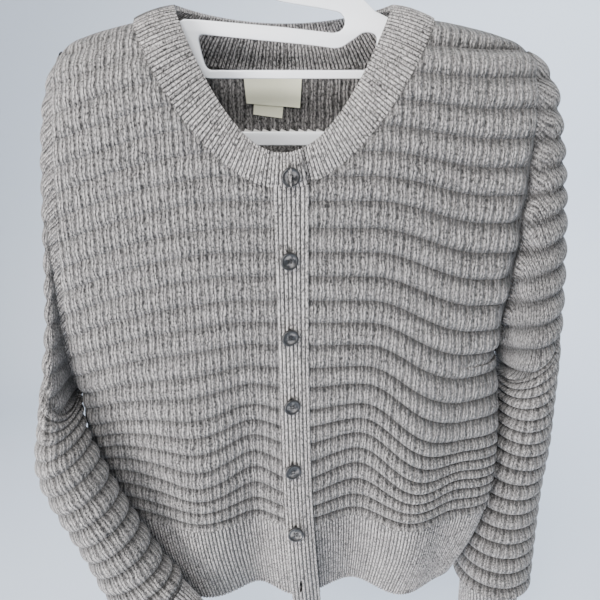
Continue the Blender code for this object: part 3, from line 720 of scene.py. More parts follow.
def rib_band(name, x_from, x_to, top, bottom, ribs, rib_depth, front, push, material):
    """A ribbed band that follows the body between two edges."""
    samples = RIB_SAMPLES
    columns = ribs * samples + 1
    rows = max(int((top - bottom) / RIB_ROW) + 1, 6)
    z = np.linspace(top, bottom, rows)[:, None]
    shares = np.linspace(0.0, 1.0, columns)[None, :]
    x = x_from(z) + shares * (x_to(z) - x_from(z))
    z = z + 0.0 * x
    y = body_y(x, z, front) + push(z)
    middle = np.stack([x, y, z], axis=-1)
    way = np.array([0.0, -1.0 if front else 1.0, 0.0])
    normals = grid_normals(middle, False, way)
    for column in (0, -1):
        normals[:, column, 0] = 0.0
        normals[:, column] /= np.linalg.norm(normals[:, column], axis=-1, keepdims=True)
    periods = shares * ribs + 0.0 * z
    pairs = np.abs(np.sin(np.pi * periods / 2.0)) ** 0.35
    height = rib_height(periods) * (1.0 - 0.55 * (1.0 - pairs))
    knit = np.stack([periods, top - z, height], axis=-1)
    return shell(name, middle, normals, rib_depth * height, knit, material, steps=(samples, 4))


def ring_table(rings, side=None):
    """Six columns of numbers: the rings' outer and inner ends, middle and depth."""
    rows = [tuple(ring) for ring in rings]
    if side is not None:
        reach_top = side * (float(side_reach(side, SHOULDER_TIP)) + ARMHOLE_GAP)
        reach_low = side * (float(side_reach(side, UNDERARM[side])) + ARMHOLE_GAP + WALL / 2)
        first = (reach_top, SHOULDER_TIP, reach_low, UNDERARM[side], 0.0, ARMHOLE_DEPTH)
        rows.insert(0, first)
    return np.array(rows)


def smooth_rows(table, at):
    """Rows of a table, read smoothly between its whole numbers."""
    slopes = np.gradient(table, axis=0)
    index = np.clip(np.floor(at).astype(int), 0, len(table) - 2)
    share = (at - index)[:, None]
    rise = table[index + 1] - table[index]
    ease = share * share * (3.0 - 2.0 * share)
    lead = share * (1.0 - share) ** 2 * slopes[index]
    trail = share * share * (share - 1.0) * slopes[index + 1]
    return table[index] + rise * ease + lead + trail


def ring_grid(rows, count):
    """Points round each ring of a sleeve, its first point on the outer edge."""
    angles = np.arange(count) * 2.0 * np.pi / count
    outer = np.stack([rows[:, 0], rows[:, 4], rows[:, 1]], axis=-1)
    inner = np.stack([rows[:, 2], rows[:, 4], rows[:, 3]], axis=-1)
    middle, reach = 0.5 * (outer + inner), 0.5 * (outer - inner)
    grid = middle[:, None] + np.cos(angles)[None, :, None] * reach[:, None]
    grid[..., 1] -= np.sin(angles)[None, :] * rows[:, 5][:, None]
    return grid, middle


def fine_sleeve(side, rings, name, count, welt_depth, material):
    """A sleeve from its armhole to its cuff, its rows following the welts."""
    table = ring_table(rings, side)
    dense = np.linspace(0.0, len(table) - 1.0, 400)
    rail = smooth_rows(table, dense)[:, :2]
    length = np.concatenate([[0.0], np.cumsum(np.linalg.norm(np.diff(rail, axis=0), axis=1))])
    phases = welt_phases(length[-1] / SLEEVE_WELT_PITCH)
    at = np.interp(phases * SLEEVE_WELT_PITCH, length, dense)
    grid, middle = ring_grid(smooth_rows(table, at), count)
    hole = armhole_points(side, count)
    near = (1.0 - smoothstep(0.0, 1.0, at))[:, None]
    hole[:, 0] -= side * SLEEVE_TUCK
    grid[..., 0] += near * (hole[None, :, 0] - grid[:1, :, 0])
    if side > 0:
        forward = smoothstep(0.0, -0.012, grid[..., 1])
        grid[..., 1] += forward * crease_tuck(grid[..., 0], grid[..., 2])
    normals = grid_normals(grid, True, grid - middle[:, None])
    turn = 1.0 - smoothstep(0.0, 0.5, at)[:, None]
    normals[..., 0] *= 1.0 - turn
    normals /= np.linalg.norm(normals, axis=-1, keepdims=True)
    phase = phases[:, None] + 0.0 * grid[..., 0]
    x, z = grid[..., 0], grid[..., 2]
    if side > 0:
        edge = side_reach(side, z)
        tilt = SLEEVE_TILT * smoothstep(-0.16, -0.26, z) * smoothstep(-0.47, -0.40, z)
        drooped = z + welt_sag(np.minimum(x, edge), z, True) - tilt * (x - edge)
    else:
        drooped = z + welt_sag(x, z, True)
    body = np.interp(-drooped, [-height for height in GROOVES], range(len(GROOVES)))
    own = smoothstep(*SLEEVE_BLEND[side], at)[:, None]
    phase = np.where(own < 0.5, body, phase)
    fade = 1.0 - (1.0 - np.abs(2.0 * own - 1.0)) ** 4 + 0.0 * phase
    # Near the crease at the wearer's left armhole the knit value falls to 0. The welts flatten there, and
    # painted groove shade darkens the crease.
    if side > 0:
        creased = smoothstep(CREASE_START, CREASE_FULL, z)
        fade = fade * (1.0 - creased * smoothstep(0.5, 0.0, at)[:, None])
    fade = fade * smoothstep(0.0, 0.3, phases[-1] - phases)[:, None]
    round_length = np.linalg.norm(np.diff(grid, axis=1, append=grid[:, :1]), axis=-1)
    across = np.cumsum(round_length, axis=1) - round_length
    across = across - across[:, count // 4][:, None]
    knit = np.stack([across, phase, welt_bulge(phase) * fade], axis=-1)
    own_depth = SLEEVE_DEPTH * smoothstep(0.5, 5.0, at)[:, None]
    relief = welt_relief(grid, knit, welt_depth) * (1.0 + own_depth)
    return shell(name, grid, normals, relief, knit, material, ring=True, steps=(5, 5))


def fine_cuff(rings, name, rib_pitch, rib_depth, material):
    table = ring_table(rings)
    at = np.linspace(0.0, len(table) - 1.0, 14)
    loop = ring_grid(table[-1:], 60)[0][0]
    ribs = int(round(np.linalg.norm(loop - np.roll(loop, 1, axis=0), axis=1).sum() / rib_pitch))
    count = ribs * RIB_SAMPLES
    grid, middle = ring_grid(smooth_rows(table, at), count)
    normals = grid_normals(grid, True, grid - middle[:, None])
    periods = np.arange(count)[None, :] / RIB_SAMPLES + 0.0 * grid[..., 0]
    height = rib_height(periods)
    along = np.linalg.norm(grid - grid[:1], axis=-1)
    knit = np.stack([periods, along, height], axis=-1)
    relief = rib_depth * height
    return shell(name, grid, normals, relief, knit, material, ring=True, steps=(RIB_SAMPLES, 3))


def fine_neckband(rib_depth, material):
    under, top = lap_angles()
    length = 0.0
    fine = np.linspace(under, top, 400)
    seam = np.array([neck_seam(angle) for angle in fine])
    steps = np.concatenate([[0.0], np.cumsum(np.linalg.norm(np.diff(seam, axis=0), axis=1))])
    length = steps[-1]
    ribs = int(round(length / RIB_PITCH))
    columns = ribs * RIB_SAMPLES + 1
    angles = np.interp(np.linspace(0.0, length, columns), steps, fine)
    settle = NECKBAND_SETTLE
    lap_end = top - NECKBAND_LAP_ANGLE
    grid = []
    for angle in angles:
        tuck = NECKBAND_LAP * (1.0 - smoothstep(-under, -under + settle, angle))
        rise = NECKBAND_LAP * smoothstep(lap_end - settle, lap_end, angle)
        grid.append(neckband_row(angle, tuck - rise))
    middle = np.array(grid).transpose(1, 0, 2)
    outward = np.array([neckband_out(angle) for angle in angles])[None, :]
    normals = grid_normals(middle, False, outward + 0.0 * middle)
    periods = np.arange(columns)[None, :] / RIB_SAMPLES + 0.0 * middle[..., 0]
    bold = np.abs(np.sin(np.pi * (periods / 2.5 + 0.3 * np.sin(periods * 0.37)))) ** 0.35
    right_side = smoothstep(0.35, -0.1, np.sin(angles))[None, :]
    height = rib_height(periods) * (1.0 - 0.6 * right_side * (1.0 - bold))
    share = np.linspace(0.0, 1.0, middle.shape[0])[:, None]
    covered = smoothstep(top - 2.0 * math.pi, top - 2.0 * math.pi + 0.08, angles)
    relief = NECKBAND_RIB_SHARE * rib_depth * height * (1.0 - share**6) * covered[None, :]
    along = np.linalg.norm(middle - middle[:1], axis=-1)
    knit = np.stack([periods, along, height], axis=-1)
    wall, steps = NECKBAND_WALL, (1, 3)
    return shell("neckband_rib", middle, normals, relief, knit, material, wall, False, steps, True)


def neckband_out(angle):
    step = 0.01
    along = neck_seam(angle + step) - neck_seam(angle - step)
    return along.cross(neck_opening(angle) - neck_seam(angle)).normalized()


def neckband_row(angle, push):
    seam = neck_seam(angle)
    width = neck_opening(angle) - seam
    out = neckband_out(angle)
    bend = 8 if math.cos(angle) >= 0.0 else 2
    gap = NECKBAND_SHOULDER_GAP * math.sin(angle) ** bend - NECKBAND_COVER
    row = []
    for share in np.linspace(gap / width.length, 1.0, NECKBAND_ROWS):
        crown = NECKBAND_CROWN * 4.0 * share * (1.0 - share)
        point = seam + width * share + out * crown
        point.y += push
        row.append(tuple(point))
    return row


def put(tree, kind, settings=(), values=()):
    """A node, its settings and its inputs: a socket is linked and a number is set."""
    node = tree.nodes.new(kind)
    for key, value in dict(settings).items():
        setattr(node, key, value)
    for index, value in dict(values).items():
        if isinstance(value, bpy.types.NodeSocket):
            tree.links.new(value, node.inputs[index])
        else:
            node.inputs[index].default_value = value
    return node


def sums(tree, operation, a, b=0.0, c=0.0):
    values = {0: a, 1: b, 2: c}
    return put(tree, "ShaderNodeMath", {"operation": operation}, values).outputs[0]


def ramp(tree, value, low, high, to_low=0.0, to_high=1.0):
    """A smooth rise from one value to another."""
    settings = {"interpolation_type": "SMOOTHSTEP"}
    values = {0: value, 1: low, 2: high, 3: to_low, 4: to_high}
    return put(tree, "ShaderNodeMapRange", settings, values).outputs[0]


def noise(tree, vector, scale, detail=2.0, roughness=0.5):
    values = {"Vector": vector, "Scale": scale, "Detail": detail, "Roughness": roughness}
    return put(tree, "ShaderNodeTexNoise", (), values).outputs["Fac"]


def mixed(tree, share, a, b):
    node = put(tree, "ShaderNodeMix", {"data_type": "RGBA"})
    for socket, value in ((0, share), (6, a), (7, b)):
        if isinstance(value, bpy.types.NodeSocket):
            tree.links.new(value, node.inputs[socket])
        else:
            node.inputs[socket].default_value = value
    return node.outputs[2]


def new_group(name, inputs, outputs):
    group = bpy.data.node_groups.new(name, "ShaderNodeTree")
    for label, kind, value in inputs:
        socket = group.interface.new_socket(label, in_out="INPUT", socket_type=kind)
        if value is not None:
            socket.default_value = value
    for label, kind in outputs:
        group.interface.new_socket(label, in_out="OUTPUT", socket_type=kind)
    source = group.nodes.new("NodeGroupInput")
    target = group.nodes.new("NodeGroupOutput")
    return group, source, target


def use_group(tree, group, values):
    node = tree.nodes.new("ShaderNodeGroup")
    node.node_tree = group
    for label, value in values.items():
        if isinstance(value, bpy.types.NodeSocket):
            tree.links.new(value, node.inputs[label])
        else:
            node.inputs[label].default_value = value
    return node


def marl_group():
    """Flecks of light and dark fibre spun into one yarn."""
    inputs = [
        ("Position", "NodeSocketVector", None),
        ("Dark", "NodeSocketColor", (0.10, 0.10, 0.10, 1.0)),
        ("Light", "NodeSocketColor", (0.50, 0.50, 0.50, 1.0)),
        ("Shade", "NodeSocketFloat", 1.0),
    ]
    group, source, target = new_group("Yarn Marl", inputs, [("Color", "NodeSocketColor")])
    place = source.outputs["Position"]
    stretch = put(group, "ShaderNodeVectorMath", {"operation": "MULTIPLY"}, {0: place})
    stretch.inputs[1].default_value = (1.0, 1.0, 0.45)
    flecks = noise(group, stretch.outputs[0], 900.0, 1.5, 0.7)
    flecks = ramp(group, flecks, 0.28, 0.72)
    cloudy = noise(group, place, 55.0, 3.0, 0.6)
    share = sums(group, "MULTIPLY_ADD", cloudy, 0.34, -0.17)
    share = sums(group, "ADD", share, flecks)
    share = put(group, "ShaderNodeClamp", (), {0: share}).outputs[0]
    colour = mixed(group, share, source.outputs["Dark"], source.outputs["Light"])
    # The colour is scaled by Shade, which carries the painted shade of the pits, grooves and rib valleys.
    shaded = put(group, "ShaderNodeVectorMath", {"operation": "SCALE"}, {0: colour})
    group.links.new(source.outputs["Shade"], shaded.inputs["Scale"])
    group.links.new(shaded.outputs[0], target.inputs["Color"])
    return group


def folded(tree, value):
    """The distance from the middle of each unit step, from 0 to 1."""
    part = sums(tree, "FRACT", value)
    part = sums(tree, "SUBTRACT", part, 0.5)
    return sums(tree, "MULTIPLY", sums(tree, "ABSOLUTE", part), 2.0)


def stitch_group():
    """Columns of stitches across the welts, with a pit between each pair, and painted shade in the pits,
    the column seams and the welt grooves.
    """
    inputs = [
        ("Pattern", "NodeSocketVector", None),
        ("Position", "NodeSocketVector", None),
        ("Stitch Pitch", "NodeSocketFloat", 0.004),
        ("Rows In A Welt", "NodeSocketFloat", 3.0),
        ("Pit Shade", "NodeSocketFloat", 0.5),
        ("Groove Shade", "NodeSocketFloat", 0.5),
    ]
    outputs = [("Height", "NodeSocketFloat"), ("Shade", "NodeSocketFloat")]
    group, source, target = new_group("Stitch Columns", inputs, outputs)
    place = source.outputs["Position"]
    split = put(group, "ShaderNodeSeparateXYZ", (), {0: source.outputs["Pattern"]}).outputs
    slow = noise(group, place, 90.0, 1.0)
    wander = sums(group, "MULTIPLY_ADD", slow, 0.5, -0.25)
    columns = sums(group, "DIVIDE", split[0], source.outputs["Stitch Pitch"])
    columns = sums(group, "ADD", columns, wander)
    between = folded(group, columns)
    halves = folded(group, sums(group, "MULTIPLY", columns, 2.0))
    rows = sums(group, "MULTIPLY", split[1], source.outputs["Rows In A Welt"])
    jitter = sums(group, "MULTIPLY_ADD", noise(group, place, 160.0, 0.0), 0.9, -0.45)
    along = folded(group, sums(group, "ADD", rows, jitter))
    pit = sums(group, "MULTIPLY", ramp(group, between, 0.42, 0.88), ramp(group, along, 0.95, 0.25))
    uneven = ramp(group, noise(group, place, 70.0, 2.0), 0.30, 0.70, 0.50, 1.0)
    pit = sums(group, "MULTIPLY", pit, uneven)
    seam = sums(group, "MULTIPLY", ramp(group, between, 0.40, 0.92), 0.66)
    finer = sums(group, "MULTIPLY", ramp(group, halves, 0.45, 0.95), 0.50)
    hollow = sums(group, "MAXIMUM", pit, sums(group, "MAXIMUM", seam, finer))
    height = sums(group, "SUBTRACT", 1.0, hollow)
    fine = sums(group, "MULTIPLY", noise(group, place, 900.0, 1.0), 0.5)
    group.links.new(sums(group, "ADD", height, fine), target.inputs["Height"])
    # Painted shade: the pits and column seams darken the yarn's colour.
    shade = sums(group, "MULTIPLY", hollow, source.outputs["Pit Shade"])
    shade = sums(group, "SUBTRACT", 1.0, shade)
    # Painted shade in the grooves between welts, taken from the knit value. It is weaker at the upper left
    # and stronger towards the right and the bottom.
    groove = ramp(group, split[2], 0.15, 1.0, 1.0, 0.0)
    where = put(group, "ShaderNodeSeparateXYZ", (), {0: place}).outputs
    shade_to_lower_right = ramp(group, sums(group, "SUBTRACT", where[0], where[2]), 0.0, 0.50, 0.35, 1.15)
    groove = sums(group, "MULTIPLY", groove, source.outputs["Groove Shade"])
    groove = sums(group, "MULTIPLY", groove, shade_to_lower_right)
    shade = sums(group, "MULTIPLY", shade, sums(group, "SUBTRACT", 1.0, groove))
    group.links.new(shade, target.inputs["Shade"])
    return group


def rib_group():
    """Knit columns along each rib, with painted shade in the valleys between one rib and the next."""
    inputs = [
        ("Pattern", "NodeSocketVector", None),
        ("Position", "NodeSocketVector", None),
        ("Stitch Height", "NodeSocketFloat", 0.0032),
        ("Valley Shade", "NodeSocketFloat", 0.5),
    ]
    outputs = [("Height", "NodeSocketFloat"), ("Shade", "NodeSocketFloat")]
    group, source, target = new_group("Rib Stitches", inputs, outputs)
    place = source.outputs["Position"]
    split = put(group, "ShaderNodeSeparateXYZ", (), {0: source.outputs["Pattern"]}).outputs
    lean = sums(group, "MULTIPLY", folded(group, split[0]), 0.5)
    rows = sums(group, "DIVIDE", split[1], source.outputs["Stitch Height"])
    loops = folded(group, sums(group, "ADD", rows, lean))
    fine = sums(group, "MULTIPLY", noise(group, place, 900.0, 1.0), 0.7)
    height = sums(group, "MULTIPLY_ADD", loops, 0.35, fine)
    group.links.new(height, target.inputs["Height"])
    # Painted shade: the valleys darken the yarn's colour, and the loops add a faint painted shade.
    valley = ramp(group, split[2], 0.20, 0.95, 1.0, 0.0)
    valley = sums(group, "MULTIPLY", valley, source.outputs["Valley Shade"])
    shade = sums(group, "SUBTRACT", 1.0, valley)
    loops = sums(group, "MULTIPLY_ADD", loops, 0.10, 0.92)
    group.links.new(sums(group, "MULTIPLY", shade, loops), target.inputs["Shade"])
    return group


def new_material(name, shader_values):
    material = bpy.data.materials.new(name)
    material.use_nodes = True
    shader = material.node_tree.nodes["Principled BSDF"]
    for label, value in shader_values.items():
        shader.inputs[label].default_value = value
    return material, material.node_tree, shader


def bump_into(tree, shader, height, distance, strength=1.0):
    values = {"Height": height, "Distance": distance, "Strength": strength}
    bump = put(tree, "ShaderNodeBump", (), values)
    tree.links.new(bump.outputs["Normal"], shader.inputs["Normal"])


def yarn_material(name, marl, pattern_group, settings, dark, light, distance):
    material, tree, shader = new_material(name, WOOL)
    place = put(tree, "ShaderNodeTexCoord").outputs["Object"]
    pattern = put(tree, "ShaderNodeAttribute", {"attribute_name": "knit"}).outputs["Vector"]
    stitches = use_group(tree, pattern_group, {"Pattern": pattern, "Position": place, **settings})
    values = {"Position": place, "Dark": dark, "Light": light, "Shade": stitches.outputs["Shade"]}
    colour = use_group(tree, marl, values)
    tree.links.new(colour.outputs["Color"], shader.inputs["Base Color"])
    bump_into(tree, shader, stitches.outputs["Height"], distance)
    return material


def button_material():
    material, tree, shader = new_material(
        "Button Horn", {"Roughness": 0.32, "Coat Weight": 0.25, "Coat Roughness": 0.15}
    )
    place = put(tree, "ShaderNodeTexCoord").outputs["Object"]
    pattern = put(tree, "ShaderNodeAttribute", {"attribute_name": "knit"}).outputs["Vector"]
    radius = put(tree, "ShaderNodeSeparateXYZ", (), {0: pattern}).outputs[2]
    cloudy = noise(tree, place, 170.0, 3.0, 0.6)
    streak = ramp(tree, cloudy, 0.42, 0.66)
    middle = ramp(tree, radius, 0.55, 0.78, 1.0, 0.0)
    share = sums(tree, "MULTIPLY", streak, middle)
    colour = mixed(tree, share, (0.012, 0.012, 0.013, 1.0), (0.20, 0.19, 0.185, 1.0))
    tree.links.new(colour, shader.inputs["Base Color"])
    return material


def plain_material(name, colour, shader_values, scale=0.0, distance=0.0):
    """A plain surface, with a faint unevenness."""
    material, tree, shader = new_material(name, shader_values)
    place = put(tree, "ShaderNodeTexCoord").outputs["Object"]
    cloudy = noise(tree, place, 22.0, 2.0)
    low = tuple(0.97 * part for part in colour) + (1.0,)
    tree.links.new(mixed(tree, cloudy, low, (*colour, 1.0)), shader.inputs["Base Color"])
    if scale:
        bump_into(tree, shader, noise(tree, place, scale, 2.0), distance)
    return material


def label_material():
    material, tree, shader = new_material("Label Weave", {"Roughness": 0.75, "Sheen Weight": 0.15})
    place = put(tree, "ShaderNodeTexCoord").outputs["Object"]
    split = put(tree, "ShaderNodeSeparateXYZ", (), {0: place}).outputs
    warp = folded(tree, sums(tree, "MULTIPLY", split[0], 1400.0))
    weft = folded(tree, sums(tree, "MULTIPLY", split[2], 1400.0))
    weave = sums(tree, "MULTIPLY", warp, weft)
    cream = mixed(tree, weave, (0.95, 0.93, 0.70, 1.0), (1.0, 0.99, 0.80, 1.0))
    tree.links.new(cream, shader.inputs["Base Color"])
    bump_into(tree, shader, weave, 0.0002)
    return material


ButtonPlace = namedtuple("ButtonPlace", "number spot slope turn shank")


def button_places():
    places = []
    for number, z in enumerate(button_heights(), 1):
        if number == 1:
            spot, slope = neckband_spot(z), 0.0
            turn = BUTTON_TURN
            stack = NECKBAND_LAP + NECKBAND_WALL / 2 + BUTTON_CLEARANCE
            shank = stack + NECKBAND_LAP - NECKBAND_WALL / 2 - SEAM_GAP
            spot.y -= stack
        elif number == 7:
            spot, slope = placket_spot(z, under_band_push)
            turn = 0.0
            spot.y -= WALL / 2 + HIDDEN_CLEARANCE
            shank = HIDDEN_CLEARANCE - 0.0003
        else:
            spot, slope = placket_spot(z, top_band_push)
            turn = 4.0 if number == 6 else BUTTON_TURN
            apart = float(under_band_push(z) - top_band_push(z))
            spot.y -= WALL / 2 + BUTTON_CLEARANCE
            shank = BUTTON_CLEARANCE + apart - SEAM_GAP
        places.append(ButtonPlace(number, spot, -slope, turn, shank))
    return places


def add_tube(shape, start, end, radius, sides, group=0):
    """A closed rod between two points."""
    way = Vector(end) - Vector(start)
    turn = way.to_track_quat("Z", "Y").to_matrix().to_4x4()
    matrix = Matrix.Translation((Vector(start) + Vector(end)) / 2.0) @ turn
    made = bmesh.ops.create_cone(
        shape, cap_ends=True, segments=sides, radius1=radius, radius2=radius,
        depth=way.length, matrix=matrix,
    )
    for vert in made["verts"]:
        for face in vert.link_faces:
            face.material_index = group


def button_disc(name):
    """A dished disc with a rounded rim, its face towards -Y and its back at 0."""
    shape = bmesh.new()
    layer = shape.verts.layers.float_vector.new("knit")
    rings = []
    for radius, height in BUTTON_PROFILE:
        ring = []
        for count in range(BUTTON_SIDES):
            angle = 2.0 * math.pi * count / BUTTON_SIDES
            x, z = radius * BUTTON_RADIUS * math.cos(angle), radius * BUTTON_RADIUS * math.sin(angle)
            vert = shape.verts.new((x, -height * BUTTON_THICKNESS, z))
            vert[layer] = (x, z, radius if height > 0.5 else 1.0)
            ring.append(vert)
        rings.append(ring)
    for first, second in zip(rings, rings[1:]):
        for count in range(BUTTON_SIDES):
            after = (count + 1) % BUTTON_SIDES
            shape.faces.new((first[count], first[after], second[after], second[count]))
    shape.faces.new(rings[0])
    shape.faces.new(rings[-1])
    bmesh.ops.recalc_face_normals(shape, faces=shape.faces)
    mesh = bpy.data.meshes.new(name)
    shape.to_mesh(mesh)
    shape.free()
    return mesh


def helper(name, mesh):
    thing = bpy.data.objects.new(name, mesh)
    bpy.context.scene.collection.objects.link(thing)
    thing.hide_render = True
    return thing


def applied(thing):
    """The object's mesh as its modifiers leave it, with the modifiers gone."""
    graph = bpy.context.evaluated_depsgraph_get()
    mesh = bpy.data.meshes.new_from_object(thing.evaluated_get(graph))
    thing.modifiers.clear()
    old, thing.data = thing.data, mesh
    if isinstance(old, bpy.types.Mesh) and not old.users:
        bpy.data.meshes.remove(old)
    return thing


def face_outwards(mesh):
    """Turns a closed mesh's faces round when they point inwards."""
    shape = bmesh.new()
    shape.from_mesh(mesh)
    if shape.calc_volume(signed=True) < 0.0:
        bmesh.ops.reverse_faces(shape, faces=shape.faces)
        shape.to_mesh(mesh)
    shape.free()


def subtract(thing, cutter_shape, name):
    """Cuts the closed shapes in cutter_shape out of an object."""
    mesh = bpy.data.meshes.new(name)
    bmesh.ops.recalc_face_normals(cutter_shape, faces=cutter_shape.faces)
    cutter_shape.to_mesh(mesh)
    cutter_shape.free()
    cutter = helper(name, mesh)
    boolean = thing.modifiers.new(name, "BOOLEAN")
    boolean.operation, boolean.solver, boolean.object = "DIFFERENCE", "EXACT", cutter
    applied(thing)
    face_outwards(thing.data)
    bpy.data.objects.remove(cutter, do_unlink=True)
    return thing


def fine_button(place, horn, thread):
    name = f"button_{place.number}_disc"
    button = add_piece(name, button_disc(name), horn, thread)
    holes = bmesh.new()
    threads = bmesh.new()
    spots = []
    for count in range(4):
        angle = math.radians(45 + 90 * count)
        x, z = HOLE_SPREAD * math.cos(angle), HOLE_SPREAD * math.sin(angle)
        spots.append((x, z))
        add_tube(holes, (x, 0.001, z), (x, -BUTTON_THICKNESS - 0.001, z), HOLE_RADIUS, 16)
        back = (x * 0.5, place.shank * 0.6, z * 0.5)
        front = (x, -BUTTON_THICKNESS * 0.74, z)
        add_tube(threads, back, front, THREAD_RADIUS, 8, 1)
    subtract(button, holes, name + "_holes")
    level = -BUTTON_THICKNESS * 0.74
    for one, two in ((0, 1), (2, 3)):
        start, end = (spots[one][0], level, spots[one][1]), (spots[two][0], level, spots[two][1])
        add_tube(threads, start, end, THREAD_RADIUS, 8, 1)
    add_tube(threads, (0, -0.0002, 0), (0, place.shank, 0), SHANK_RADIUS, 12, 1)
    bmesh.ops.recalc_face_normals(threads, faces=threads.faces)
    threads.from_mesh(button.data)
    threads.to_mesh(button.data)
    threads.free()
    turned = Matrix.Rotation(math.radians(place.turn), 4, "Z") @ Matrix.Rotation(place.slope, 4, "X")
    button.data.transform(Matrix.Translation(place.spot) @ turned)
    button.data.shade_smooth()
    button.data.set_sharp_from_angle(angle=math.radians(50))
    return button


def box_into(shape, low, high):
    size, middle = Vector(high) - Vector(low), (Vector(high) + Vector(low)) / 2.0
    matrix = Matrix.Translation(middle) @ Matrix.Diagonal((*size, 1.0))
    bmesh.ops.create_cube(shape, size=1.0, matrix=matrix)


def cut_slits(neckband, top_band):
    """Opens the buttonholes and returns where each one is."""
    spots = []
    for number, z in enumerate(button_heights(), 1):
        if number == 1:
            spot, front, back = neckband_spot(z), -0.012, 0.0
        else:
            spot, front, back = placket_spot(z, top_band_push)[0], -0.006, 0.006
        shape = bmesh.new()
        low = (spot.x - SLIT_WIDTH / 2, spot.y + front, z - SLIT_HEIGHT / 2)
        high = (spot.x + SLIT_WIDTH / 2, spot.y + back, z + SLIT_HEIGHT / 2)
        box_into(shape, low, high)
        subtract(neckband if number == 1 else top_band, shape, f"slit_{number}")
        spots.append(spot)
    return spots


def fine_hanger(name, material, edge):
    """The hanger's flat plate, its edges rounded."""
    curve = bpy.data.curves.new(name, "CURVE")
    curve.dimensions = "2D"
    curve.fill_mode = "BOTH"
    curve.extrude = HANGER_THICKNESS / 2 - edge
    curve.bevel_depth = edge
    curve.bevel_resolution = 2
    curve.offset = -edge
    outlines = (hanger_outline(), rounded(HANGER_LOOP, 0.006, 7), rounded(HANGER_FRAME_GAP, 0.007, 7))
    for outline in outlines:
        spline = curve.splines.new("POLY")
        spline.points.add(len(outline) - 1)
        for point, (x, z) in zip(spline.points, outline):
            point.co = (x, z, 0.0, 1.0)
        spline.use_cyclic_u = True
    source = helper(name + "_curve", curve)
    graph = bpy.context.evaluated_depsgraph_get()
    mesh = bpy.data.meshes.new_from_object(source.evaluated_get(graph))
    bpy.data.objects.remove(source, do_unlink=True)
    bpy.data.curves.remove(curve)
    mesh.transform(Matrix.Rotation(math.radians(90), 4, "X"))
    mesh.name = name
    shape = bmesh.new()
    shape.from_mesh(mesh)
    bmesh.ops.remove_doubles(shape, verts=shape.verts, dist=1e-6)
    bmesh.ops.recalc_face_normals(shape, faces=shape.faces)
    shape.to_mesh(mesh)
    shape.free()
    mesh.materials.clear()
    piece = add_piece(name, mesh, material)
    mesh.set_sharp_from_angle(angle=math.radians(30))
    return piece


def tooth_mesh(name):
    """One slanted tooth, its steep side at its left."""
    shape = bmesh.new()
    corners = ((0.0, 0.0), (TOOTH_PITCH * 0.96, 0.0), (0.0010, TOOTH_HEIGHT))
    rows = []
    for y in (-HANGER_THICKNESS * 0.36, HANGER_THICKNESS * 0.36):
        rows.append([shape.verts.new((x, y, z - 0.0006)) for x, z in corners])
    shape.faces.new(rows[0])
    shape.faces.new(rows[1])
    for index in range(3):
        after = (index + 1) % 3
        shape.faces.new((rows[0][index], rows[0][after], rows[1][after], rows[1][index]))
    bmesh.ops.recalc_face_normals(shape, faces=shape.faces)
    mesh = bpy.data.meshes.new(name)
    shape.to_mesh(mesh)
    shape.free()
    return mesh


def node_group(name, inputs):
    """A geometry node tree with named number inputs."""
    group = bpy.data.node_groups.new(name, "GeometryNodeTree")
    group.interface.new_socket("Geometry", in_out="INPUT", socket_type="NodeSocketGeometry")
    sockets = {}
    for label, kind, value in inputs:
        socket = group.interface.new_socket(label, in_out="INPUT", socket_type=kind)
        if value is not None:
            socket.default_value = value
        sockets[label] = socket.identifier
    group.interface.new_socket("Geometry", in_out="OUTPUT", socket_type="NodeSocketGeometry")
    return group, group.nodes.new("NodeGroupInput"), group.nodes.new("NodeGroupOutput"), sockets


def link(group, source, target):
    group.links.new(source, target)


def row_group():
    """Copies of an object in a row along X."""
    inputs = [
        ("Item", "NodeSocketObject", None),
        ("Count", "NodeSocketInt", 10),
        ("Pitch", "NodeSocketFloat", 0.008),
        ("Start", "NodeSocketVector", (0.0, 0.0, 0.0)),
        ("Material", "NodeSocketMaterial", None),
    ]
    group, source, target, sockets = node_group("Row Of Copies", inputs)
    line = group.nodes.new("GeometryNodeMeshLine")
    step = group.nodes.new("ShaderNodeCombineXYZ")
    link(group, source.outputs["Pitch"], step.inputs[0])
    link(group, source.outputs["Count"], line.inputs["Count"])
    link(group, source.outputs["Start"], line.inputs["Start Location"])
    link(group, step.outputs[0], line.inputs["Offset"])
    item = group.nodes.new("GeometryNodeObjectInfo")
    link(group, source.outputs["Item"], item.inputs["Object"])
    copies = group.nodes.new("GeometryNodeInstanceOnPoints")
    link(group, line.outputs["Mesh"], copies.inputs["Points"])
    link(group, item.outputs["Geometry"], copies.inputs["Instance"])
    finish_group(group, source, target, copies.outputs["Instances"])
    return group, sockets


def finish_group(group, source, target, geometry):
    """Realizes the copies and gives them their material."""
    real = group.nodes.new("GeometryNodeRealizeInstances")
    link(group, geometry, real.inputs[0])
    coat = group.nodes.new("GeometryNodeSetMaterial")
    link(group, real.outputs[0], coat.inputs["Geometry"])
    link(group, source.outputs["Material"], coat.inputs["Material"])
    link(group, coat.outputs[0], target.inputs[0])


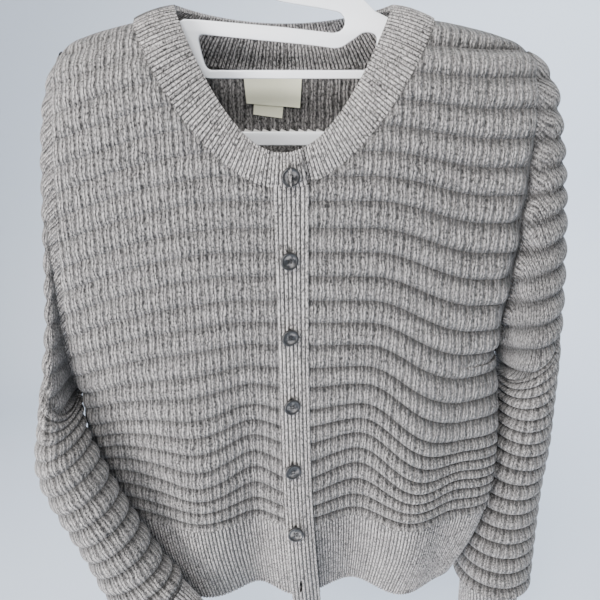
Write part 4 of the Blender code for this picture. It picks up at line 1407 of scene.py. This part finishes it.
def spread_group():
    """Short fibres that stand on a surface, leaning at random."""
    inputs = [
        ("Item", "NodeSocketObject", None),
        ("Density", "NodeSocketFloat", 20000.0),
        ("Lean", "NodeSocketFloat", 0.7),
        ("Shortest", "NodeSocketFloat", 0.4),
        ("Longest", "NodeSocketFloat", 1.0),
        ("Seed", "NodeSocketInt", 3),
        ("Material", "NodeSocketMaterial", None),
    ]
    group, source, target, sockets = node_group("Fibre Spread", inputs)
    scatter = group.nodes.new("GeometryNodeDistributePointsOnFaces")
    link(group, source.outputs["Geometry"], scatter.inputs["Mesh"])
    link(group, source.outputs["Density"], scatter.inputs["Density"])
    link(group, source.outputs["Seed"], scatter.inputs["Seed"])
    item = group.nodes.new("GeometryNodeObjectInfo")
    link(group, source.outputs["Item"], item.inputs["Object"])
    angle = group.nodes.new("FunctionNodeRandomValue")
    angle.data_type = "FLOAT_VECTOR"
    low = group.nodes.new("ShaderNodeCombineXYZ")
    high = group.nodes.new("ShaderNodeCombineXYZ")
    less = group.nodes.new("ShaderNodeMath")
    less.operation = "MULTIPLY"
    less.inputs[1].default_value = -1.0
    link(group, source.outputs["Lean"], less.inputs[0])
    for index in (0, 1):
        link(group, less.outputs[0], low.inputs[index])
        link(group, source.outputs["Lean"], high.inputs[index])
    high.inputs[2].default_value = 2.0 * math.pi
    link(group, low.outputs[0], angle.inputs[0])
    link(group, high.outputs[0], angle.inputs[1])
    link(group, source.outputs["Seed"], angle.inputs["Seed"])
    turn = group.nodes.new("FunctionNodeRotateEuler")
    turn.rotation_type = "EULER"
    turn.space = "LOCAL"
    link(group, scatter.outputs["Rotation"], turn.inputs["Rotation"])
    link(group, angle.outputs[0], turn.inputs["Rotate By"])
    size = group.nodes.new("FunctionNodeRandomValue")
    size.data_type = "FLOAT"
    link(group, source.outputs["Shortest"], size.inputs[2])
    link(group, source.outputs["Longest"], size.inputs[3])
    link(group, source.outputs["Seed"], size.inputs["Seed"])
    copies = group.nodes.new("GeometryNodeInstanceOnPoints")
    link(group, scatter.outputs["Points"], copies.inputs["Points"])
    link(group, item.outputs["Geometry"], copies.inputs["Instance"])
    link(group, turn.outputs[0], copies.inputs["Rotation"])
    link(group, size.outputs[1], copies.inputs["Scale"])
    finish_group(group, source, target, copies.outputs["Instances"])
    return group, sockets


def grown(thing, group, sockets, values):
    """Runs a node group on an object, and leaves the plain mesh that it makes."""
    modifier = thing.modifiers.new(group.name, "NODES")
    modifier.node_group = group
    for label, value in values.items():
        modifier[sockets[label]] = value
    return applied(thing)


def fibre_mesh(name, length, radius):
    """One bent fibre, three-sided and pointed, standing along Z."""
    shape = bmesh.new()
    low = []
    middle = []
    for count in range(3):
        angle = 2.0 * math.pi * count / 3
        x, y = radius * math.cos(angle), radius * math.sin(angle)
        low.append(shape.verts.new((x, y, -0.0004)))
        middle.append(shape.verts.new((x + length * 0.10, y, length * 0.55)))
    tip = shape.verts.new((length * 0.42, 0.0, length))
    shape.faces.new(low)
    for count in range(3):
        after = (count + 1) % 3
        shape.faces.new((low[count], low[after], middle[after], middle[count]))
        shape.faces.new((middle[count], middle[after], tip))
    bmesh.ops.recalc_face_normals(shape, faces=shape.faces)
    mesh = bpy.data.meshes.new(name)
    shape.to_mesh(mesh)
    shape.free()
    return mesh


def fibre_seed(name, sources):
    """A surface that joins copies of several pieces, to grow fibres on."""
    shape = bmesh.new()
    for source in sources:
        shape.from_mesh(source.data)
    mesh = bpy.data.meshes.new(name)
    shape.to_mesh(mesh)
    shape.free()
    thing = bpy.data.objects.new(name, mesh)
    bpy.context.scene.collection.objects.link(thing)
    return thing


def soft_light(name, place, target, size, power, colour):
    light = bpy.data.lights.new(name, "AREA")
    light.shape = "RECTANGLE"
    light.size, light.size_y = size
    light.energy = power
    light.color = colour
    lamp = bpy.data.objects.new(name, light)
    bpy.context.scene.collection.objects.link(lamp)
    lamp.location = place
    lamp.rotation_euler = (Vector(target) - Vector(place)).to_track_quat("-Z", "Y").to_euler()
    return lamp


def sweep(name, ends, material):
    """A pale floor that curves up into a wall behind the garment."""
    near, wall = ends
    bend = 0.5
    outline = [(near, FLOOR_LEVEL)]
    for angle in np.radians(np.linspace(-90.0, 0.0, 13)):
        place = wall - bend + bend * math.cos(angle)
        outline.append((place, FLOOR_LEVEL + bend + bend * math.sin(angle)))
    outline.append((wall, 3.0))
    points = [(x, y, z) for x in (-4.0, 4.0) for y, z in outline]
    count = len(outline)
    faces = [[i, i + count, i + count + 1, i + 1] for i in range(count - 1)]
    mesh = bpy.data.meshes.new(name)
    mesh.from_pydata(points, [], faces)
    mesh.flip_normals()
    return add_piece(name, mesh, material)


def backdrop_material():
    """Pale blue-grey, with painted shade: darker towards the left and the top."""
    material, tree, shader = new_material("Pale Backdrop", {"Roughness": 0.95})
    place = put(tree, "ShaderNodeTexCoord").outputs["Object"]
    split = put(tree, "ShaderNodeSeparateXYZ", (), {0: place}).outputs
    across = sums(tree, "SUBTRACT", split[0], sums(tree, "MULTIPLY", split[2], 0.5))
    share = ramp(tree, across, -0.9, 0.7)
    colour = mixed(tree, share, (0.34, 0.385, 0.45, 1.0), (0.74, 0.82, 0.94, 1.0))
    tree.links.new(colour, shader.inputs["Base Color"])
    return material


MADE = {}


def keep(key, *things):
    MADE.setdefault(key, []).extend(things)


def dress(piece, nodes):
    """Ties a piece to the body and hides the CAD nodes it stands for."""
    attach(piece, "root")
    if nodes:
        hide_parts(*nodes)


class CardiganSettings(bpy.types.PropertyGroup):
    welt_depth: bpy.props.FloatProperty(
        name="Welt Depth", description="How far a welt stands out", default=0.0034,
        min=0.0, max=0.006, subtype="DISTANCE", unit="LENGTH",
    )
    rib_depth: bpy.props.FloatProperty(
        name="Rib Depth", description="How far a rib stands out", default=0.0017,
        min=0.0, max=0.004, subtype="DISTANCE", unit="LENGTH",
    )
    rib_pitch: bpy.props.FloatProperty(
        name="Rib Pitch", description="Width of one rib", default=RIB_PITCH,
        min=0.002, max=0.01, subtype="DISTANCE", unit="LENGTH",
    )
    stitch_pitch: bpy.props.FloatProperty(
        name="Stitch Pitch", description="Width of one column of stitches", default=0.0076,
        min=0.002, max=0.01, subtype="DISTANCE", unit="LENGTH",
    )
    front_columns: bpy.props.IntProperty(
        name="Front Columns", description="Columns of points in each front", default=201,
        min=40, max=240,
    )
    back_columns: bpy.props.IntProperty(
        name="Back Columns", description="Columns of points in half the back", default=113,
        min=40, max=160,
    )
    yarn_dark: bpy.props.FloatVectorProperty(
        name="Dark Fibre", description="Colour of the yarn's dark fibres", subtype="COLOR",
        default=(0.014, 0.013, 0.013), min=0.0, max=1.0,
    )
    yarn_light: bpy.props.FloatVectorProperty(
        name="Light Fibre", description="Colour of the yarn's light fibres", subtype="COLOR",
        default=(0.46, 0.437, 0.426), min=0.0, max=1.0,
    )
    fibre_count: bpy.props.IntProperty(
        name="Fibres", description="Loose fibres on the cloth", default=5200, min=0, max=9000,
    )
    fibre_length: bpy.props.FloatProperty(
        name="Fibre Length", description="Length of the longest loose fibre", default=0.006,
        min=0.001, max=0.02, subtype="DISTANCE", unit="LENGTH",
    )


class CARDIGAN_OT_materials(bpy.types.Operator):
    """Make the yarn, button, label and hanger materials"""

    bl_idname = "cardigan.materials"
    bl_label = "Materials"

    def execute(self, context):
        settings = context.scene.cardigan
        marl, stitches, ribs = marl_group(), stitch_group(), rib_group()
        dark, light = (*settings.yarn_dark, 1.0), (*settings.yarn_light, 1.0)
        # Pit Shade, Groove Shade and Valley Shade set how dark the painted shade in the yarn's colour is.
        knit_values = {"Stitch Pitch": settings.stitch_pitch, "Pit Shade": 0.92, "Groove Shade": 0.62}
        MADE["knit"] = yarn_material("Welted Knit", marl, stitches, knit_values, dark, light, 0.0020)
        rib_light = (*(1.22 * part for part in settings.yarn_light), 1.0)
        rib_values = {"Valley Shade": 0.90}
        MADE["rib"] = yarn_material("Ribbed Knit", marl, ribs, rib_values, dark, rib_light, 0.0006)
        MADE["fibre"] = plain_material("Loose Fibre", (0.42, 0.41, 0.41), WOOL)
        MADE["horn"] = button_material()
        MADE["thread"] = plain_material("Sewing Thread", (0.035, 0.034, 0.034), {"Roughness": 0.7})
        MADE["label"] = label_material()
        gloss = {"Roughness": 0.16, "Coat Weight": 0.4, "Coat Roughness": 0.05}
        MADE["plastic"] = plain_material("Hanger Plastic", (0.93, 0.94, 0.97), gloss, 30.0, 0.0002)
        # The teeth get a darker beige-grey copy of the hanger's white plastic: painted shade for the bar's
        # shaded top face.
        MADE["grip"] = plain_material("Hanger Bar", (0.72, 0.70, 0.68), {"Roughness": 0.4})
        return {"FINISHED"}


class CARDIGAN_OT_body(bpy.types.Operator):
    """Knit the back and the two fronts"""

    bl_idname = "cardigan.body"
    bl_label = "Back And Fronts"

    def execute(self, context):
        settings = context.scene.cardigan
        knit, depth = MADE["knit"], settings.welt_depth
        for side, node in ((-1, "right_front"), (1, "left_front")):
            name = node + "_knit"
            front = fine_front(side, name, settings.front_columns, depth, knit)
            dress(front, [node])
            keep("cloth", front)
        back = fine_back(settings.back_columns, depth, knit)
        dress(back, ["back_panel"])
        keep("cloth", back)
        return {"FINISHED"}


class CARDIGAN_OT_sleeves(bpy.types.Operator):
    """Knit the sleeves and their cuffs"""

    bl_idname = "cardigan.sleeves"
    bl_label = "Sleeves And Cuffs"

    def execute(self, context):
        settings = context.scene.cardigan
        for side, rings, cuff_rings, who, count in (
            (1, WEARER_LEFT_SLEEVE, WEARER_LEFT_CUFF, "left", 160),
            (-1, WEARER_RIGHT_SLEEVE, WEARER_RIGHT_CUFF, "right", 200),
        ):
            name = who + "_sleeve"
            sleeve = fine_sleeve(side, rings, name + "_knit", count, settings.welt_depth, MADE["knit"])
            dress(sleeve, [name])
            pitch, depth = settings.rib_pitch, settings.rib_depth
            cuff = fine_cuff(cuff_rings, who + "_cuff_rib", pitch, depth, MADE["rib"])
            dress(cuff, [who + "_cuff"])
            keep("cloth", sleeve, cuff)
        return {"FINISHED"}


class CARDIGAN_OT_bands(bpy.types.Operator):
    """Knit the hem ribs, neckband and plackets, and open the buttonholes"""

    bl_idname = "cardigan.bands"
    bl_label = "Ribbed Bands"

    def execute(self, context):
        settings = context.scene.cardigan
        rib, depth, pitch = MADE["rib"], settings.rib_depth, settings.rib_pitch
        hem_top = RIB_TOP - SEAM_GAP
        for side, node in ((-1, "right_hem_rib"), (1, "left_hem_rib")):
            ribs = int(round(HEM_FRONT_WIDTH / pitch))
            edges = (FRONT_INNER_EDGE[side], side_edge(side))
            hem = rib_band(node + "_knit", *edges, hem_top, HEM, ribs, depth, True, no_push, rib)
            dress(hem, [node])
            keep("cloth", hem)
        ribs = int(round(HEM_BACK_WIDTH / pitch))
        edges = (side_edge(-1), side_edge(1))
        hem = rib_band("back_hem_rib_knit", *edges, hem_top, HEM, ribs, depth, False, no_push, rib)
        dress(hem, ["back_hem_rib"])
        band_top = float(neck_z(0.014, True)) - 2.5 * SEAM_GAP
        bands = []
        edges = (placket_edge("left", -PLACKET_COVER), placket_edge("right", PLACKET_COVER))
        for node, push in (("buttonhole_band", top_band_push), ("button_band", under_band_push)):
            name = node + "_rib"
            band = rib_band(name, *edges, band_top, PLACKET_END, PLACKET_RIBS, depth, True, push, rib)
            dress(band, [node])
            bands.append(band)
        neckband = fine_neckband(depth, rib)
        dress(neckband, ["neckband"])
        cut_slits(neckband, bands[0])
        keep("cloth", hem, neckband, *bands)
        return {"FINISHED"}


class CARDIGAN_OT_trims(bpy.types.Operator):
    """Make the buttons and the blank labels"""

    bl_idname = "cardigan.trims"
    bl_label = "Buttons And Labels"

    def execute(self, context):
        for place in button_places():
            button = fine_button(place, MADE["horn"], MADE["thread"])
            dress(button, [f"button_{place.number}"])
        first = WALL / 2 + LABEL_GAP + LABEL_WALL / 2
        second = first + LABEL_WALL + LABEL_GAP
        for node, corners, offset in (
            ("neck_label", MAIN_LABEL, second),
            ("size_label", SMALL_LABEL, first),
        ):
            label = fine_label(node + "_cloth", corners, offset, MADE["label"])
            dress(label, [node])
        return {"FINISHED"}


class CARDIGAN_OT_hanger(bpy.types.Operator):
    """Make the hanger's plate and the toothed bar across its foot"""

    bl_idname = "cardigan.hanger"
    bl_label = "Hanger"

    def execute(self, context):
        plate = fine_hanger("hanger_plate", MADE["plastic"], 0.0011)
        dress(plate, ["hanger"])
        tooth = helper("tooth", tooth_mesh("tooth"))
        row = helper("hanger_teeth", bpy.data.meshes.new("hanger_teeth"))
        row.hide_render = False
        group, sockets = row_group()
        start = (TEETH_START, 0.0, TEETH_LEVEL)
        values = {"Item": tooth, "Count": TEETH_COUNT, "Pitch": TOOTH_PITCH}
        # The teeth use the darker painted-shade copy of the hanger plastic.
        grown(row, group, sockets, {**values, "Start": start, "Material": MADE["grip"]})
        bpy.data.objects.remove(tooth, do_unlink=True)
        dress(row, [])
        return {"FINISHED"}


class CARDIGAN_OT_fibres(bpy.types.Operator):
    """Grow loose fibres on the cloth"""

    bl_idname = "cardigan.fibres"
    bl_label = "Loose Fibres"

    def execute(self, context):
        settings = context.scene.cardigan
        seed = fibre_seed("loose_fibres", MADE["cloth"])
        area = sum(polygon.area for polygon in seed.data.polygons)
        fibre = helper("fibre", fibre_mesh("fibre", settings.fibre_length, 0.00006))
        group, sockets = spread_group()
        values = {"Item": fibre, "Density": settings.fibre_count / area, "Material": MADE["fibre"]}
        grown(seed, group, sockets, values)
        bpy.data.objects.remove(fibre, do_unlink=True)
        dress(seed, [])
        return {"FINISHED"}


class CARDIGAN_OT_stage(bpy.types.Operator):
    """Set the floor, the backdrop, the soft lights and the camera"""

    bl_idname = "cardigan.stage"
    bl_label = "Stage"

    def execute(self, context):
        pale = backdrop_material()
        floor = sweep("floor", (-4.0, BACKDROP_PLACE), pale)
        lamps = [
            soft_light("key", (-1.6, -1.0, 0.35), (0, 0, -0.45), (1.0, 1.0), 46.0, (1.0, 0.985, 0.97)),
            soft_light("fill", (-0.4, -1.3, 1.0), (0, 0, -0.10), (0.7, 0.7), 34.0, (1.0, 0.99, 0.98)),
            soft_light("bounce", (-0.9, -1.0, -0.75), (-0.16, 0, -0.6), (0.6, 0.5), 30.0, (1, 0.965, 0.95)),
            soft_light("wash", (1.6, 0.2, 0.6), (0.6, 1.4, -0.4), (1.2, 1.2), 26.0, (0.95, 0.98, 1.0)),
        ]
        world = bpy.data.worlds.new("Pale Room")
        context.scene.world = world
        world.use_nodes = True
        world.node_tree.nodes["Background"].inputs[0].default_value = (0.92, 0.94, 0.95, 1.0)
        world.node_tree.nodes["Background"].inputs[1].default_value = 0.68
        camera = bpy.data.objects.new("camera", bpy.data.cameras.new("camera"))
        context.scene.collection.objects.link(camera)
        camera.data.lens = CAMERA_LENS
        camera.data.sensor_width = CAMERA_LENS
        camera.data.dof.use_dof = False
        camera.data.clip_start = 0.01
        camera.location = CAMERA_PLACE
        camera.rotation_euler = (math.radians(90.0 - CAMERA_DIP), 0.0, 0.0)
        context.scene.camera = camera
        return {"FINISHED"}


def fine_label(name, corners, offset, material):
    top_left, top_right, low_right, low_left = (np.array(corner) for corner in corners)
    down = np.linspace(0.0, 1.0, 9)[:, None, None]
    across = np.linspace(0.0, 1.0, 13)[None, :, None]
    upper = top_left + across * (top_right - top_left)
    lower = low_left + across * (low_right - low_left)
    flat = upper + down * (lower - upper)
    x, z = flat[..., 0], flat[..., 1]
    grid = np.stack([x, body_y(x, z, False) - offset, z], axis=-1)
    normals = grid_normals(grid, False, np.array([0.0, -1.0, 0.0]))
    return shell(name, grid, normals, 0.0 * x, grid, material, LABEL_WALL, steps=(1, 1))


class CARDIGAN_PT_panel(bpy.types.Panel):
    bl_idname = "CARDIGAN_PT_panel"
    bl_label = "Button Cardigan"
    bl_space_type = "VIEW_3D"
    bl_region_type = "UI"
    bl_category = "Cardigan"

    def draw(self, context):
        settings = context.scene.cardigan
        for name in CardiganSettings.__annotations__:
            self.layout.prop(settings, name)
        for kind in OPERATORS:
            self.layout.operator(kind.bl_idname)


OPERATORS = (
    CARDIGAN_OT_materials,
    CARDIGAN_OT_hanger,
    CARDIGAN_OT_body,
    CARDIGAN_OT_sleeves,
    CARDIGAN_OT_bands,
    CARDIGAN_OT_trims,
    CARDIGAN_OT_fibres,
    CARDIGAN_OT_stage,
)
CLASSES = (CardiganSettings, *OPERATORS, CARDIGAN_PT_panel)


def register():
    for kind in CLASSES:
        bpy.utils.register_class(kind)
    bpy.types.Scene.cardigan = bpy.props.PointerProperty(type=CardiganSettings)


def unregister():
    del bpy.types.Scene.cardigan
    for kind in reversed(CLASSES):
        bpy.utils.unregister_class(kind)


def main():
    for name in ("Cube", "Light", "Camera"):
        if name in bpy.data.objects:
            bpy.data.objects.remove(bpy.data.objects[name], do_unlink=True)
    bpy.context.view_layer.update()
    register()
    bpy.ops.cardigan.materials()
    bpy.ops.cardigan.hanger()
    bpy.ops.cardigan.body()
    bpy.ops.cardigan.sleeves()
    bpy.ops.cardigan.bands()
    bpy.ops.cardigan.trims()
    bpy.ops.cardigan.fibres()
    bpy.ops.cardigan.stage()


if __name__ == "__main__":
    main()
